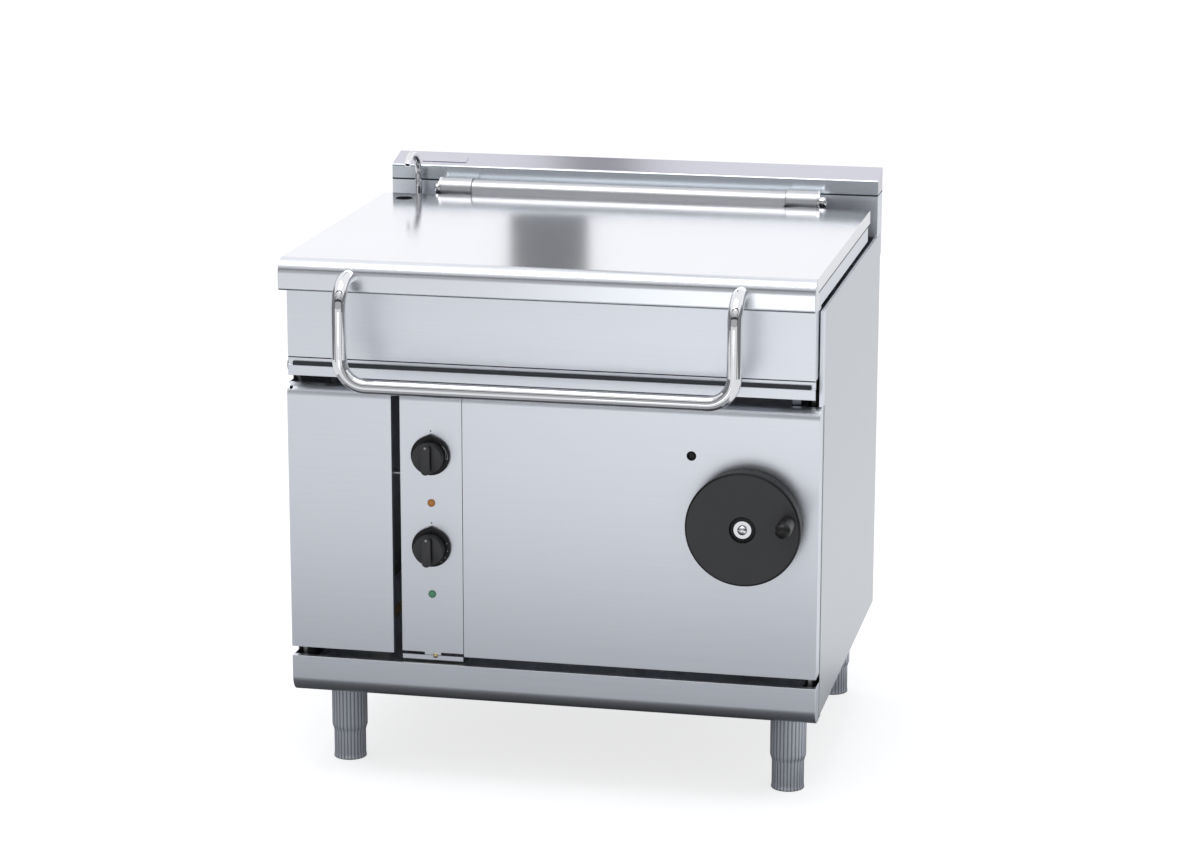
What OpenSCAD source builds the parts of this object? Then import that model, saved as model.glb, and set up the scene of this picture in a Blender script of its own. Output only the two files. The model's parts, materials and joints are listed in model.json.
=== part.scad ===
// Tilting bratt pan on four adjustable legs.
// X runs to the right, Y to the back and Z up; the origin is on the floor at the middle of the footprint.
// Depths are measured back from the front of the closed lid and turned into Y by y().

/* [Cabinet] */
// Width over the side panels
cab_w = 894; // [810:2:960]
// Depth from the front of the lid to the back of the splashback
body_d = 785; // [710:1:820]
// Thickness of the cabinet sheet
sheet = 1.5; // [1:0.1:2]
// Height of the side panels
side_h = 686; // [680:1:690]
// Depth of the front edge of the side panels
side_in = 90; // [80:1:95]
// Depth of the face of the door, control panel and front panel
panel_in = 50; // [49:1:52]
// Height of the toe gap and base rail below the panels
toe_h = 74; // [70:1:80]
// Gap between the top of the panels and the pan
pan_gap = 18; // [16:1:22]
// Radius of the rounded top edge of the panels
top_r = 20; // [12:1:24]
// Inset of the panels from the outside of the cabinet
panel_inset = 1.5; // [1:0.5:2.5]

/* [Front layout] */
// Width of the service door
door_w = 177.5; // [150:0.5:180]
// Gap that the fingers reach into beside the door
finger_gap = 15; // [12:1:18]
// Width of the control panel
control_w = 105; // [96:1:120]
// Joint between the control panel and the front panel
panel_joint = 1; // [0.6:0.1:2]
// Drop from the top of the panels to the upper knob
knob_drop = 109; // [100:1:120]
// Distance between the two knobs
knob_pitch = 157; // [150:1:170]
// Drop from a knob to its lamp
lamp_drop = 81.5; // [75:0.5:85]
// Lens diameter of the lamps
lamp_d = 13; // [10:0.5:14]

/* [Base] */
// Height of the base rail
rail_h = 66; // [58:1:70]
// Bend radius along the lower edge of the base rail
rail_r = 28; // [20:1:30]
// Visible height of an adjustable foot
foot_h = 51; // [46:1:60]
// Travel of an adjustable foot each way
foot_travel = 20; // [10:1:25]
// Diameter of an adjustable foot
foot_d = 55; // [50:1:56]
// Height of a leg sleeve
sleeve_h = 107; // [100:1:120]
// Diameter of a leg sleeve
sleeve_d = 61; // [60:1:66]
// Distance of a leg's axis inside the side panels
leg_side = 64; // [50:1:80]
// Depth of the front legs
leg_front = 175; // [150:1:200]
// Distance of the rear legs in front of the back of the splashback
leg_back = 79; // [70:1:110]
// Size of the square tube of the base frame
tube = 30; // [25:1:35]

/* [Pan] */
// Depth of the pan's front face
fascia_in = 38; // [37:0.5:40]
// Height of the pan's front face
fascia_h = 145; // [140:1:150]
// Height of the groove under the front face
groove_h = 12; // [8:1:14]
// Height of the lower band of the pan
band_h = 19; // [16:1:22]
// Inset of the pan's front and rim from the outside of the cabinet
pan_inset = 8; // [8:0.5:11]
// Rise of the rim above the side panels
rim_rise = 36; // [32:1:40]
// Depth of the turned-down edge of the rim
rim_skirt = 30; // [26:1:32]
// Gap between the back of the rim and the splashback
rim_gap = 74; // [70:1:90]
// Distance of the well's sides inside the side panels
well_side = 89; // [87:1:110]
// Wall thickness of the well
well_wall = 3; // [2:0.5:4]
// Thickness of the heated bottom
well_bottom = 12; // [8:1:15]
// Height of the inside of the bottom below the rim
well_deep = 133; // [120:1:136]
// Corner radius inside the well
well_r = 28; // [20:1:32]
// Distance of the insulated casing inside the side panels
casing_side = 72; // [71:1:76]
// Highest angle that the pan tilts to
tilt_max = 56; // [45:1:57]

/* [Tilt axis] */
// Depth of the tilt axis
pivot_in = 62; // [61:0.5:62.5]
// Height of the tilt axis above the underside of the pan
pivot_up = 14; // [13:0.5:17]
// Diameter of the trunnions
trunnion_d = 24; // [20:1:26]
// Running clearance of shafts in their bushes
run_fit = 0.05; // [0.03:0.01:0.08]
// Wall thickness of the bushes
bush_wall = 3; // [2.5:0.5:3]
// Thickness of the plates that carry the pan
plate_t = 6; // [5:0.5:8]
// Gap between the pivot plates and the side panels
plate_gap = 11; // [11:0.5:12]

/* [Tilt drive] */
// Module of the worm and the toothed sector
worm_m = 3.5; // [3.5:0.1:3.6]
// Teeth on a whole circle of the sector
sector_z = 64; // [62:1:66]
// Pitch radius of the worm
worm_r = 17.5; // [17:0.5:19]
// Length of the worm thread
worm_l = 44; // [40:1:50]
// Teeth on each screw gear
screw_z = 18; // [16:1:20]
// Distance between the handwheel shaft and the worm shaft
drive_offset = 76; // [74:1:80]
// Face width of the screw gears
screw_w = 24; // [20:1:26]
// Face width of the sector
sector_w = 14; // [10:1:16]
// Play between meshing teeth
backlash = 0.5; // [0.4:0.05:0.7]
// Diameter of the worm shaft and the handwheel shaft
drive_d = 20; // [18:1:22]
// Drop from the top of the panels to the handwheel
wheel_drop = 195; // [190:1:200]

/* [Handwheel] */
// Diameter of the handwheel
wheel_d = 190; // [180:1:196]
// Depth of the handwheel rim
wheel_depth = 38; // [34:1:40]
// Gap between the handwheel and the front panel
wheel_gap = 6; // [5:0.5:9]
// Radius at which the grip stands
grip_r = 77; // [70:1:78]
// Angle of the grip above the right-hand side
grip_angle = 14; // [0:1:30]
// Diameter of the grip
grip_d = 27; // [24:1:30]
// Length of the grip
grip_l = 66; // [55:1:68]

/* [Knobs] */
// Diameter of the knob skirt
knob_d = 66; // [60:1:68]
// Diameter of the knob's grip
knob_grip_d = 50; // [44:1:54]
// Height of the knob over its bar
knob_h = 38; // [32:1:42]
// Width of the bar across the knob
knob_bar_w = 16; // [12:1:18]
// Diameter of the knob spindles
spindle_d = 6; // [5:0.5:8]

/* [Lid] */
// Gap between the lid and the splashback
lid_gap = 70; // [65:1:75]
// Height of the lid's sides
lid_h = 24; // [22:1:28]
// Height of the lid's front
lid_front_h = 52; // [48:1:56]
// Depth of the lid's thick front
lid_front_d = 35; // [30:1:36]
// Radius of the lid's upper front edge
lid_r = 12; // [8:1:14]
// Inset of the lid from the outside of the cabinet
lid_inset = 5; // [4:0.5:6]
// Highest angle that the lid opens to
lid_open = 80; // [60:1:85]
// Diameter of the fill hole
fill_d = 32; // [28:1:36]
// Distance of the fill hole in front of the splashback
fill_gap = 122; // [115:1:130]
// Distance of the fill hole inside the side panels
fill_side = 56; // [52:1:62]

/* [Lid handle] */
// Diameter of the handle tube
handle_d = 24; // [20:1:26]
// Distance of the handle's centre line from the lid
handle_out = 57; // [54:1:62]
// Bend radius of the handle
handle_r = 44; // [40:1:48]
// Distance of the handle's legs inside the side panels
handle_side = 124; // [117:1:147]
// Drop from the handle's start to its lower run
handle_drop = 167; // [160:1:172]
// Height of the handle's start above the lower edge of the lid's front
handle_up = 27; // [24:1:30]

/* [Lid hinge] */
// Distance of the hinge axis in front of the splashback
hinge_gap = 28; // [25:1:31]
// Height of the hinge axis above the top of the lid
hinge_up = 4; // [2:1:6]
// Diameter of the hinge tube
hinge_tube_d = 36; // [34:1:38]
// Diameter of the hinge blocks
hinge_block_d = 40; // [38:1:44]
// Width of a hinge block
hinge_block_w = 61; // [50:1:66]
// Distance of the hinge's ends inside the side panels
hinge_side = 99; // [97:1:107]
// Diameter of the hinge shaft
hinge_shaft_d = 20; // [18:1:20]
// Wire diameter of the counterbalance springs
spring_wire = 4; // [3:0.2:4.4]
// Number of turns of each counterbalance spring
spring_turns = 8; // [6:1:10]

/* [Water spout] */
// Outside diameter of the spout pipe
spout_d = 12; // [10:0.5:14]
// Bend radius of the spout
spout_r = 43; // [40:1:46]
// Height of the spout's bend centre above the lid
spout_up = 27; // [24:1:32]
// Distance of the spout's upright pipe in front of the splashback
spout_gap = 22; // [19:1:25]
// Angle that the spout's bend turns through
spout_bend = 138; // [125:1:150]

/* [Splashback] */
// Depth of the splashback from front to back
splash_d = 60; // [57:1:61]
// Height of the lower riser above the side panels
riser_h = 75; // [68:1:79]
// Height of the front of the cap
cap_h = 28.5; // [24:0.5:32]
// Rise of the cap from front to back
cap_rise = 13.5; // [10:0.5:16]
// Inset of the splashback from the outside of the cabinet
splash_inset = 1; // [0.5:0.5:3]
// Distance of the back panel in front of the back of the splashback
back_inset = 20; // [16:1:24]

/* [Hidden] */
$fn = 48;
eps = 0.01;
// height stack, from the floor up
z_base = foot_h + sleeve_h;
z_side = z_base + side_h;
z_rim = z_side + rim_rise;
lid_seat = 1;
z_lid = z_rim + lid_seat + lid_h;
z_lid_low = z_lid - lid_front_h;
z_front_low = z_rim - fascia_h;
z_band_top = z_front_low - groove_h;
z_band_low = z_band_top - band_h;
z_panel = z_band_low - pan_gap;
z_panel_low = z_base + toe_h;
rail_drop = 8;
z_rail = z_base - rail_drop;
z_cap = z_side + riser_h;
frame_in = side_in;
// widths and side positions
side_x = cab_w / 2;
panel_x = side_x - panel_inset;
pan_x = side_x - pan_inset;
lid_x = side_x - lid_inset;
door_x1 = -panel_x + door_w;
control_x0 = door_x1 + finger_gap;
control_x1 = control_x0 + control_w;
front_x0 = control_x1 + panel_joint;
knob_x = (control_x0 + control_x1) / 2;
plate_x = side_x - sheet - plate_gap;
casing_x = side_x - casing_side;
well_x = side_x - well_side;
fill_x = side_x - fill_side;
leg_x = side_x - leg_side;
hinge_x1 = side_x - hinge_side;
hinge_x0 = hinge_x1 - hinge_block_w;
// depth positions
back_in = body_d - back_inset;
splash_in = body_d - splash_d;
rim_back = splash_in - rim_gap;
lid_d = splash_in - lid_gap;
fill_in = splash_in - fill_gap;
hinge_in = splash_in - hinge_gap;
spout_in = splash_in - spout_gap;
leg_rear = body_d - leg_back;
y_front = (handle_out + handle_d / 2 - body_d) / 2;
function y(d) = y_front + d;
function dir(a) = [cos(a), sin(a)];
function ring(c, r, a0, a1, n) = [for (i = [0:n]) c + r * dir(a0 + (a1 - a0) * i / n)];
function side_of(a, b) = let (u = (b - a) / norm(b - a)) [-u.y, u.x];
function mitre(p, i, t) = i == 0 ? p[0] + t * side_of(p[0], p[1])
    : i == len(p) - 1 ? p[i] + t * side_of(p[i - 1], p[i])
    : let (m = side_of(p[i - 1], p[i]), n = side_of(p[i], p[i + 1])) p[i] + (m + n) * t / (1 + m * n);
// outline of a bent sheet of thickness t whose outer face follows the points p
function bent(p, t) = concat(p, [for (i = [len(p) - 1:-1:0]) mitre(p, i, t)]);
// control heights
z_knob_1 = z_panel - knob_drop;
z_knob_2 = z_knob_1 - knob_pitch;
// tilt axis and drive
z_pivot = z_band_low + pivot_up;
bush_d = trunnion_d + 2 * bush_wall;
sector_r = worm_m * sector_z / 2;
worm_d = pivot_in + sector_r + worm_r;
screw_r = drive_offset / 2;
screw_m = screw_r * 2 * cos(45) / screw_z;
screw_tip = screw_r + 0.9 * screw_m;
gear_clear = 0.8;
sector_x = side_x - sheet - gear_clear - screw_tip;
z_wheel = z_panel - wheel_drop;
wheel_x = sector_x - drive_offset;
lead_angle = atan(worm_m / (2 * worm_r));
reset_dx = 92;
reset_drop = 87;
reset_x = wheel_x - reset_dx;
z_reset = z_panel - reset_drop;
wheel_front = panel_in - wheel_gap - wheel_depth;
// lid hinge and handle
z_hinge = z_lid + hinge_up;
z_handle = z_lid_low + handle_up;
z_spout = z_lid + spout_up;
leg_places = [[-1, leg_front], [1, leg_front], [-1, leg_rear], [1, leg_rear]];
steel = [0.78, 0.80, 0.83];
bright = [0.88, 0.90, 0.92];
dark = [0.10, 0.10, 0.11];
zinc = [0.62, 0.63, 0.60];

// turns an outline drawn in depth and height into a bar from x0 to x1
module along_x(x0, x1) {
    translate([x0, y(0), 0]) rotate([90, 0, 90]) linear_extrude(x1 - x0) children();
}
module rod_x(x0, x1, d, z, dia) {
    translate([x0, y(d), z]) rotate([0, 90, 0]) cylinder(d = dia, h = x1 - x0);
}
module rod_y(d0, d1, x, z, dia) {
    translate([x, y(d0), z]) rotate([-90, 0, 0]) cylinder(d = dia, h = d1 - d0);
}
module block(x0, x1, d0, d1, z0, z1) {
    translate([x0, y(d0), z0]) cube([x1 - x0, d1 - d0, z1 - z0]);
}

// base_frame: square tube ring under the cabinet with pads over the legs
module base_frame() {
    x = side_x - sheet;
    d1 = back_in - sheet;
    top = z_base + tube;
    color(zinc) {
        difference() {
            block(-x, x, frame_in, d1, z_base, top);
            block(tube - x, x - tube, frame_in + tube, d1 - tube, z_base - 1, top + 1);
        }
        for (d = [leg_front, leg_rear]) block(tube - x, x - tube, d - tube / 2, d + tube / 2, z_base, top);
        for (p = leg_places) translate([p.x * leg_x, y(p.y), z_base]) cylinder(d = sleeve_d, h = tube);
    }
}

flutes = 24;
flute_deep = 0.9;
function fluted(d) = [for (i = [0:flutes * 4 - 1]) (d / 2 - (i % 4 < 2 ? 0 : flute_deep)) * dir(i * 90 / flutes)];

stem_d = 20;
stem_fit = 0.4;
// leg_sleeves: four fluted tubes, each with a guide for the foot's stem
module leg_sleeves() {
    color(steel) for (p = leg_places) translate([p.x * leg_x, y(p.y), foot_h]) difference() {
        union() {
            translate([0, 0, 6]) linear_extrude(sleeve_h - 6) polygon(fluted(sleeve_d));
            cylinder(d = sleeve_d + 0.6, h = 6);
        }
        translate([0, 0, -1]) cylinder(d = foot_d + 2, h = foot_travel + 6);
        translate([0, 0, -1]) cylinder(d = stem_d + 2 * stem_fit, h = sleeve_h - 5);
    }
}

// one foot: fluted cup on a stem, with a rubber rim
module foot(p) {
    translate([p.x * leg_x, y(p.y), 0]) color(steel) {
        cylinder(d1 = foot_d + 1, d2 = foot_d + 2, h = 2);
        translate([0, 0, 2]) cylinder(d1 = foot_d + 2, d2 = foot_d + 0.6, h = 3);
        translate([0, 0, 5]) linear_extrude(foot_h - 6) polygon(fluted(foot_d));
        translate([0, 0, 4]) cylinder(d = stem_d, h = foot_h + foot_travel + 30);
    }
}
module foot_front_left() { foot(leg_places[0]); }
module foot_front_right() { foot(leg_places[1]); }
module foot_rear_left() { foot(leg_places[2]); }
module foot_rear_right() { foot(leg_places[3]); }

rail_lip = 12;
// base_rail: bullnosed plinth with a lip along the top and closed ends
module base_rail() {
    top = z_rail + rail_h;
    face = [[panel_in + rail_lip, top - 8], [panel_in + rail_lip, top], [panel_in, top]];
    curve = ring([panel_in + rail_r, z_rail + rail_r], rail_r, 180, 270, 8);
    outer = concat(face, curve, [[frame_in + 20, z_rail], [frame_in + 20, z_base]]);
    color(steel) {
        along_x(-panel_x, panel_x) polygon(bent(outer, sheet));
        for (s = [-1, 1]) along_x(s * panel_x - (s + 1) / 2 * sheet, s * panel_x + (1 - s) / 2 * sheet)
            intersection() {
                polygon(concat([[frame_in + 20, top], [panel_in, top]], curve, [[frame_in + 20, z_rail]]));
                translate([panel_in, z_rail]) square([frame_in - panel_in - eps, rail_h]);
            }
    }
}

// floor_tray: shallow tray that closes the cabinet from below
module floor_tray() {
    x = side_x - sheet - tube;
    z = z_base + tube;
    color(steel) difference() {
        block(-x, x, frame_in, back_in - sheet, z, z + 12);
        block(-x + sheet, x - sheet, frame_in + sheet, back_in - 2 * sheet, z + sheet, z + 13);
    }
}

// one side panel: flat sheet with edges turned in at the top, bottom and back
module side_panel(s) {
    flange = 6;
    color(steel) {
        block(min(s * side_x, s * (side_x - sheet)), max(s * side_x, s * (side_x - sheet)),
            side_in, back_in, z_base, z_side);
        block(min(s * (side_x - sheet), s * (side_x - flange)), max(s * (side_x - sheet), s * (side_x - flange)),
            side_in, splash_in, z_side - sheet, z_side);
    }
}
door_clear = 16;
// the left panel reaches forward beside the door
module side_panel_left() {
    side_panel(-1);
    color(steel) block(-side_x, -side_x + sheet, panel_in + door_clear, side_in + eps, z_panel_low, z_panel);
}
module side_panel_right() { side_panel(1); }

gland_side = 147;
gland_x = side_x - gland_side;
gland_z = 70;
gland_hole_d = 25;
inlet_side = 117;
inlet_x = side_x - inlet_side;
inlet_d = 21;
// back_panel: back sheet with the cable and water holes
module back_panel() {
    x = side_x - sheet;
    color(steel) difference() {
        block(-x, x, back_in - sheet, back_in, z_base, z_side);
        rod_y(back_in - 10, back_in + 10, gland_x, z_base + gland_z, gland_hole_d);
        rod_y(back_in - 10, back_in + 10, -inlet_x, z_base + gland_z, inlet_d + 1);
    }
}

boss_d = bush_d + 3;
plate_front = panel_in + 30;
plate_reach = 60;
plate_back = worm_d + plate_reach;
window_w = 90;
// outline of a pivot plate in depth and height
module plate_outline() {
    foot_z = z_base + tube;
    translate([pivot_in, z_pivot]) circle(d = boss_d);
    polygon([[pivot_in, z_pivot + boss_d / 2], [worm_d - 40, z_pivot + boss_d / 2], [worm_d - 20, z_worm_top],
        [plate_back, z_worm_top], [plate_back, foot_z], [plate_front, foot_z], [plate_front, z_pivot - 60],
        [pivot_in + 20, z_pivot - 36], [pivot_in, z_pivot - bush_d / 2]]);
}
// pivot_plates: two plates on the base frame that carry the pan
module pivot_plates() {
    color(zinc) for (s = [-1, 1]) {
        x = s > 0 ? plate_x - plate_t : -plate_x;
        difference() {
            along_x(x, x + plate_t) plate_outline();
            rod_x(x - 1, x + plate_t + 1, pivot_in, z_pivot, bush_d);
            block(x - 1, x + plate_t + 1, worm_d + 15 - window_w, worm_d + 15, z_base + tube + 20, z_wheel - 70);
            block(x - 1, x + plate_t + 1, worm_d - 38, worm_d + 38, z_wheel - screw_w / 2 - 4, z_wheel + screw_w / 2 + 4);
        }
        block(min(s * (side_x - sheet), x), max(s * (side_x - sheet), x + plate_t),
            frame_in, plate_back, z_base + tube, z_base + tube + plate_t);
    }
}

// pivot_bushes: plain bearings of the trunnions
module pivot_bushes() {
    color([0.72, 0.55, 0.28]) for (s = [-1, 1]) {
        x = s > 0 ? plate_x - plate_t : -plate_x;
        difference() {
            union() {
                rod_x(x, x + plate_t, pivot_in, z_pivot, bush_d);
                rod_x(s > 0 ? x - 3 : x + plate_t, s > 0 ? x : x + plate_t + 3, pivot_in, z_pivot, boss_d - 0.5);
            }
            rod_x(x - 5, x + plate_t + 5, pivot_in, z_pivot, trunnion_d + 2 * run_fit);
        }
    }
}

return_in = panel_in + 14;
z_cross = z_wheel + drive_d / 2 + 12;
cross_h = 28;
cross_t = 2;
// cross_rail: angle between the pivot plates that the front panels are fixed to, open behind the finger gap
module cross_rail() {
    x = plate_x - plate_t;
    color(zinc) difference() {
        along_x(-x, x)
            polygon(bent([[return_in, z_cross], [return_in, z_cross + cross_h],
                [plate_front + 14, z_cross + cross_h]], -cross_t));
        block(door_x1 - 2, control_x0 + 2, return_in - 1, return_in + cross_t, z_cross - 1, z_cross + cross_h - cross_t);
    }
}

// outline of a front sheet with its rounded top and turned edges
function sheet_face(z0) = concat([[return_in, z0], [panel_in, z0]],
    ring([panel_in + top_r, z_panel - top_r], top_r, 180, 90, 6));
module front_sheet(x0, x1, z0) {
    along_x(x0, x1) polygon(bent(sheet_face(z0), -sheet));
}
// turned side edge of a front sheet
module edge(x0, x1, deep, z0) {
    block(x0, x1, panel_in + sheet - eps, deep, z0, z_panel - top_r);
}

// front_panel: fixed panel with the handwheel and reset holes
module front_panel() {
    color(steel) difference() {
        union() {
            front_sheet(front_x0, panel_x, z_panel_low);
            edge(front_x0, front_x0 + sheet, return_in, z_panel_low);
            along_x(panel_x - sheet, panel_x) polygon(concat([[side_in - 0.5, z_panel_low]],
                sheet_face(z_panel_low), [[side_in - 0.5, z_panel]]));
        }
        rod_y(panel_in - 5, panel_in + 10, wheel_x, z_wheel, drive_d + 14);
        rod_y(panel_in - 5, panel_in + 10, reset_x, z_reset, reset_hole_d);
    }
}

// control_panel: narrow panel that carries the knobs and lamps
module control_panel() {
    low = z_panel_low + 5;
    color(steel) difference() {
        union() {
            front_sheet(control_x0, control_x1, low);
            edge(control_x0, control_x0 + sheet, return_in, low);
            edge(control_x1 - sheet, control_x1, return_in, low);
            block(knob_x - 14, knob_x + 14, panel_in, panel_in + sheet, low - 9, low + eps);
        }
        for (z = [z_knob_1, z_knob_2]) rod_y(panel_in - 5, panel_in + 10, knob_x, z, spindle_d + 6);
        for (z = [z_knob_1, z_knob_2]) rod_y(panel_in - 5, panel_in + 10, knob_x, z - lamp_drop, lamp_d - 2);
    }
}

pin_in = 56;
pin_inset = 7.5;
ear_t = 3;
pin_x = -side_x + pin_inset;
pin_d = 6;
pin_foot = 20;
// door_panel: service door with pierced ears for its hinge pins
module door_panel() {
    color(steel) difference() {
        union() {
            front_sheet(-panel_x, door_x1, z_panel_low);
            edge(door_x1 - sheet, door_x1, return_in - 2, z_panel_low);
            for (z = [z_panel_low + 10, z_panel - top_r - 14])
                block(-panel_x, -panel_x + 20, panel_in + sheet - eps, panel_in + 10, z, z + ear_t);
        }
        translate([pin_x, y(pin_in), z_panel_low - 1]) cylinder(d = pin_d + 2 * run_fit, h = z_panel);
    }
}

// door_pins: hinge pins of the door on brackets fixed to the side panel
module door_pins() {
    color(zinc) for (z = [z_panel_low + 4, z_panel - top_r - 20]) {
        translate([pin_x, y(pin_in), z]) cylinder(d = pin_d, h = 11);
        block(-side_x + sheet, -plate_x, side_in, side_in + pin_foot, z, z + ear_t);
        block(pin_x - 2, pin_x + 3, pin_in, side_in + eps, z, z + ear_t);
    }
}

// door_catch: magnet block that holds the door shut
module door_catch() {
    color(dark) block(door_x1 - 26, door_x1 - 6, panel_in + sheet + 0.5, return_in, z_cross + 2, z_cross + cross_h - 2);
}

// splashback: hollow riser that carries the cap
module splashback() {
    x = side_x - splash_inset;
    color(steel) difference() {
        union() {
            block(-x, x, splash_in, body_d, z_side, z_cap);
            block(-x, x, back_in, body_d, z_side - 40, z_side + 1);
        }
        block(-x + sheet, x - sheet, splash_in + sheet, body_d - sheet, z_side - 50, z_cap - sheet);
    }
}

cap_nose = 6;
// splashback_cap: folded cap with a rounded front edge and a sloping top
module splashback_cap() {
    x = side_x - splash_inset;
    function shape(t) = concat([[splash_in + t, z_cap + t]],
        ring([splash_in + cap_nose, z_cap + cap_h - cap_nose], cap_nose - t, 180, cap_turn, 5),
        [[body_d - t, z_cap + cap_h + cap_rise - t], [body_d - t, z_cap + t]]);
    color(bright) difference() {
        along_x(-x, x) polygon(shape(0));
        along_x(-x + sheet, x - sheet) polygon(shape(sheet));
    }
}

plate_w = 82;
plate_h = 22;
plate_x0 = -side_x + 54;
cap_turn = 100;
// front end of the cap's slope
function cap_front() = [splash_in + cap_nose, z_cap + cap_h - cap_nose] + cap_nose * dir(cap_turn);
// name_plate: bare raised plate on the slope of the cap
module name_plate() {
    run = [body_d, z_cap + cap_h + cap_rise] - cap_front();
    color(bright) translate([plate_x0, y(cap_front().x), cap_front().y]) rotate([atan2(run.y, run.x), 0, 0])
        translate([0, 10, 0]) cube([plate_w, plate_h, 1.6]);
}

bracket_wall = 5;
wheel_end = worm_d + screw_tip + 10;
z_worm_low = z_wheel - screw_w / 2 - 26;
z_worm_top = z_pivot + worm_l / 2 + 18;
// worm_brackets: three shelves on the right pivot plate that hold the drive shafts
module worm_brackets() {
    x1 = plate_x - plate_t;
    r = drive_d / 2 + bracket_wall;
    hole = drive_d + 2 * run_fit;
    color(zinc) for (z = [z_worm_low, z_pivot - worm_l / 2 - 16, z_worm_top - 6]) difference() {
        union() {
            block(sector_x, x1, worm_d - r, worm_d + r, z, z + 6);
            translate([sector_x, y(worm_d), z]) cylinder(r = r, h = 6);
        }
        translate([sector_x, y(worm_d), z - 1]) cylinder(d = hole, h = 8);
    }
    color(zinc) difference() {
        union() {
            block(wheel_x, x1, wheel_end - 8, wheel_end - 2, z_wheel - r, z_wheel + r);
            rod_y(wheel_end - 8, wheel_end - 2, wheel_x, z_wheel, 2 * r);
        }
        rod_y(wheel_end - 10, wheel_end, wheel_x, z_wheel, hole);
    }
}

// wheel_bush: flanged front bearing of the handwheel shaft
module wheel_bush() {
    color(dark) difference() {
        union() {
            rod_y(panel_in - 2, panel_in, wheel_x, z_wheel, drive_d + 22);
            rod_y(panel_in, panel_in + 22, wheel_x, z_wheel, drive_d + 14);
        }
        rod_y(panel_in - 3, panel_in + 23, wheel_x, z_wheel, drive_d + 2 * run_fit);
    }
}

module lamp(z, tint) {
    color(tint) {
        rod_y(panel_in - 1.2, panel_in, knob_x, z, lamp_d);
        translate([knob_x, y(panel_in - 1.2), z]) intersection() {
            translate([0, 8.4, 0]) sphere(r = 10.6);
            rotate([90, 0, 0]) cylinder(d = lamp_d - 2, h = 6);
        }
        rod_y(panel_in, panel_in + 24, knob_x, z, lamp_d - 2);
    }
}
module amber_lamp() { lamp(z_knob_1 - lamp_drop, [0.93, 0.52, 0.18]); }
module green_lamp() { lamp(z_knob_2 - lamp_drop, [0.25, 0.62, 0.40]); }

switch_in = 20;
spindle_reach = 15;
module switch_body(z, size) {
    color([0.85, 0.84, 0.78]) difference() {
        block(knob_x - size / 2, knob_x + size / 2, panel_in + sheet, panel_in + sheet + size,
            z - size / 2, z + size / 2);
        rod_y(panel_in, panel_in + sheet + switch_in, knob_x, z, spindle_d + 2 * run_fit);
    }
}
module thermostat() {
    switch_body(z_knob_1, 48);
}
module selector_switch() {
    switch_body(z_knob_2, 54);
}

// one knob: skirt with a pointed top, round grip and raised bar
module knob(z) {
    r = knob_d / 2;
    skirt_h = 6;
    color(dark) translate([knob_x, y(panel_in - 1), z]) rotate([90, 0, 0]) {
        linear_extrude(skirt_h) {
            circle(r = r);
            polygon([[-9, r - 2], [0, r + 3], [9, r - 2], [0, 0]]);
        }
        translate([0, 0, skirt_h - eps]) cylinder(d1 = knob_grip_d + 3, d2 = knob_grip_d, h = knob_h - skirt_h - 12);
        translate([0, 0, skirt_h]) linear_extrude(knob_h - skirt_h) intersection() {
            circle(d = knob_grip_d);
            square([knob_bar_w, knob_grip_d + 2], center = true);
        }
        translate([0, 0, -spindle_reach]) cylinder(d = spindle_d, h = spindle_reach + eps);
    }
}
module upper_knob() { knob(z_knob_1); }
module lower_knob() { knob(z_knob_2); }

relay_w = 60;
relay_h = 80;
relay_d = 70;
relay_side = 100;
relay_up = 150;
relay_step = 15;
// contactor: switching block on the back panel
module contactor() {
    x0 = gland_x - relay_side;
    z0 = z_base + gland_z + relay_up;
    d0 = back_in - sheet - relay_d;
    color([0.80, 0.80, 0.76]) {
        block(x0, x0 + relay_w, d0, back_in - sheet, z0, z0 + relay_h);
        block(x0 + 8, x0 + relay_w - 8, d0 - relay_step, d0, z0 + relay_step, z0 + relay_h - relay_step);
    }
}
strip_w = 100;
strip_h = 40;
strip_d = 32;
strip_up = 50;
ways = 5;
way_pitch = 18.5;
way_w = 14;
way_edge = 6;
// terminal_block: supply terminals beside the gland
module terminal_block() {
    x0 = gland_x - strip_w / 2;
    z0 = z_base + gland_z + strip_up;
    d0 = back_in - sheet - strip_d;
    color([0.85, 0.85, 0.80]) difference() {
        block(x0, x0 + strip_w, d0, back_in - sheet, z0, z0 + strip_h);
        for (i = [0:ways - 1]) translate([i * way_pitch, 0, 0])
            block(x0 + way_edge, x0 + way_edge + way_w, d0 - 1, d0 + 10, z0 + way_edge, z0 + strip_h - way_edge);
    }
}

gland_bore = 14;
// cable_gland: gland in the back panel, left empty
module cable_gland() {
    color(dark) difference() {
        union() {
            rod_y(back_in, back_in + 6, gland_x, z_base + gland_z, gland_hole_d + 8);
            rod_y(back_in - 14, back_in + 1, gland_x, z_base + gland_z, gland_hole_d);
            rod_y(back_in + 5, back_in + 18, gland_x, z_base + gland_z, gland_hole_d - 2);
        }
        rod_y(back_in - 15, back_in + 19, gland_x, z_base + gland_z, gland_bore);
    }
}

// water_inlet: threaded connection at the back with its pipe to the valve
module water_inlet() {
    z = z_base + gland_z;
    color([0.72, 0.55, 0.28]) difference() {
        union() {
            rod_y(back_in - 20, back_in + 18, -inlet_x, z, inlet_d);
            rod_y(back_in, back_in + 4, -inlet_x, z, inlet_d + 9);
            rod_y(valve_in + 22, back_in - 19, -inlet_x, z, 14);
        }
        rod_y(back_in - 16, back_in + 19, -inlet_x, z, inlet_d - 6);
    }
}

valve_in = 200;
supply_d = 8.6;
lever_d = 8;
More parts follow.
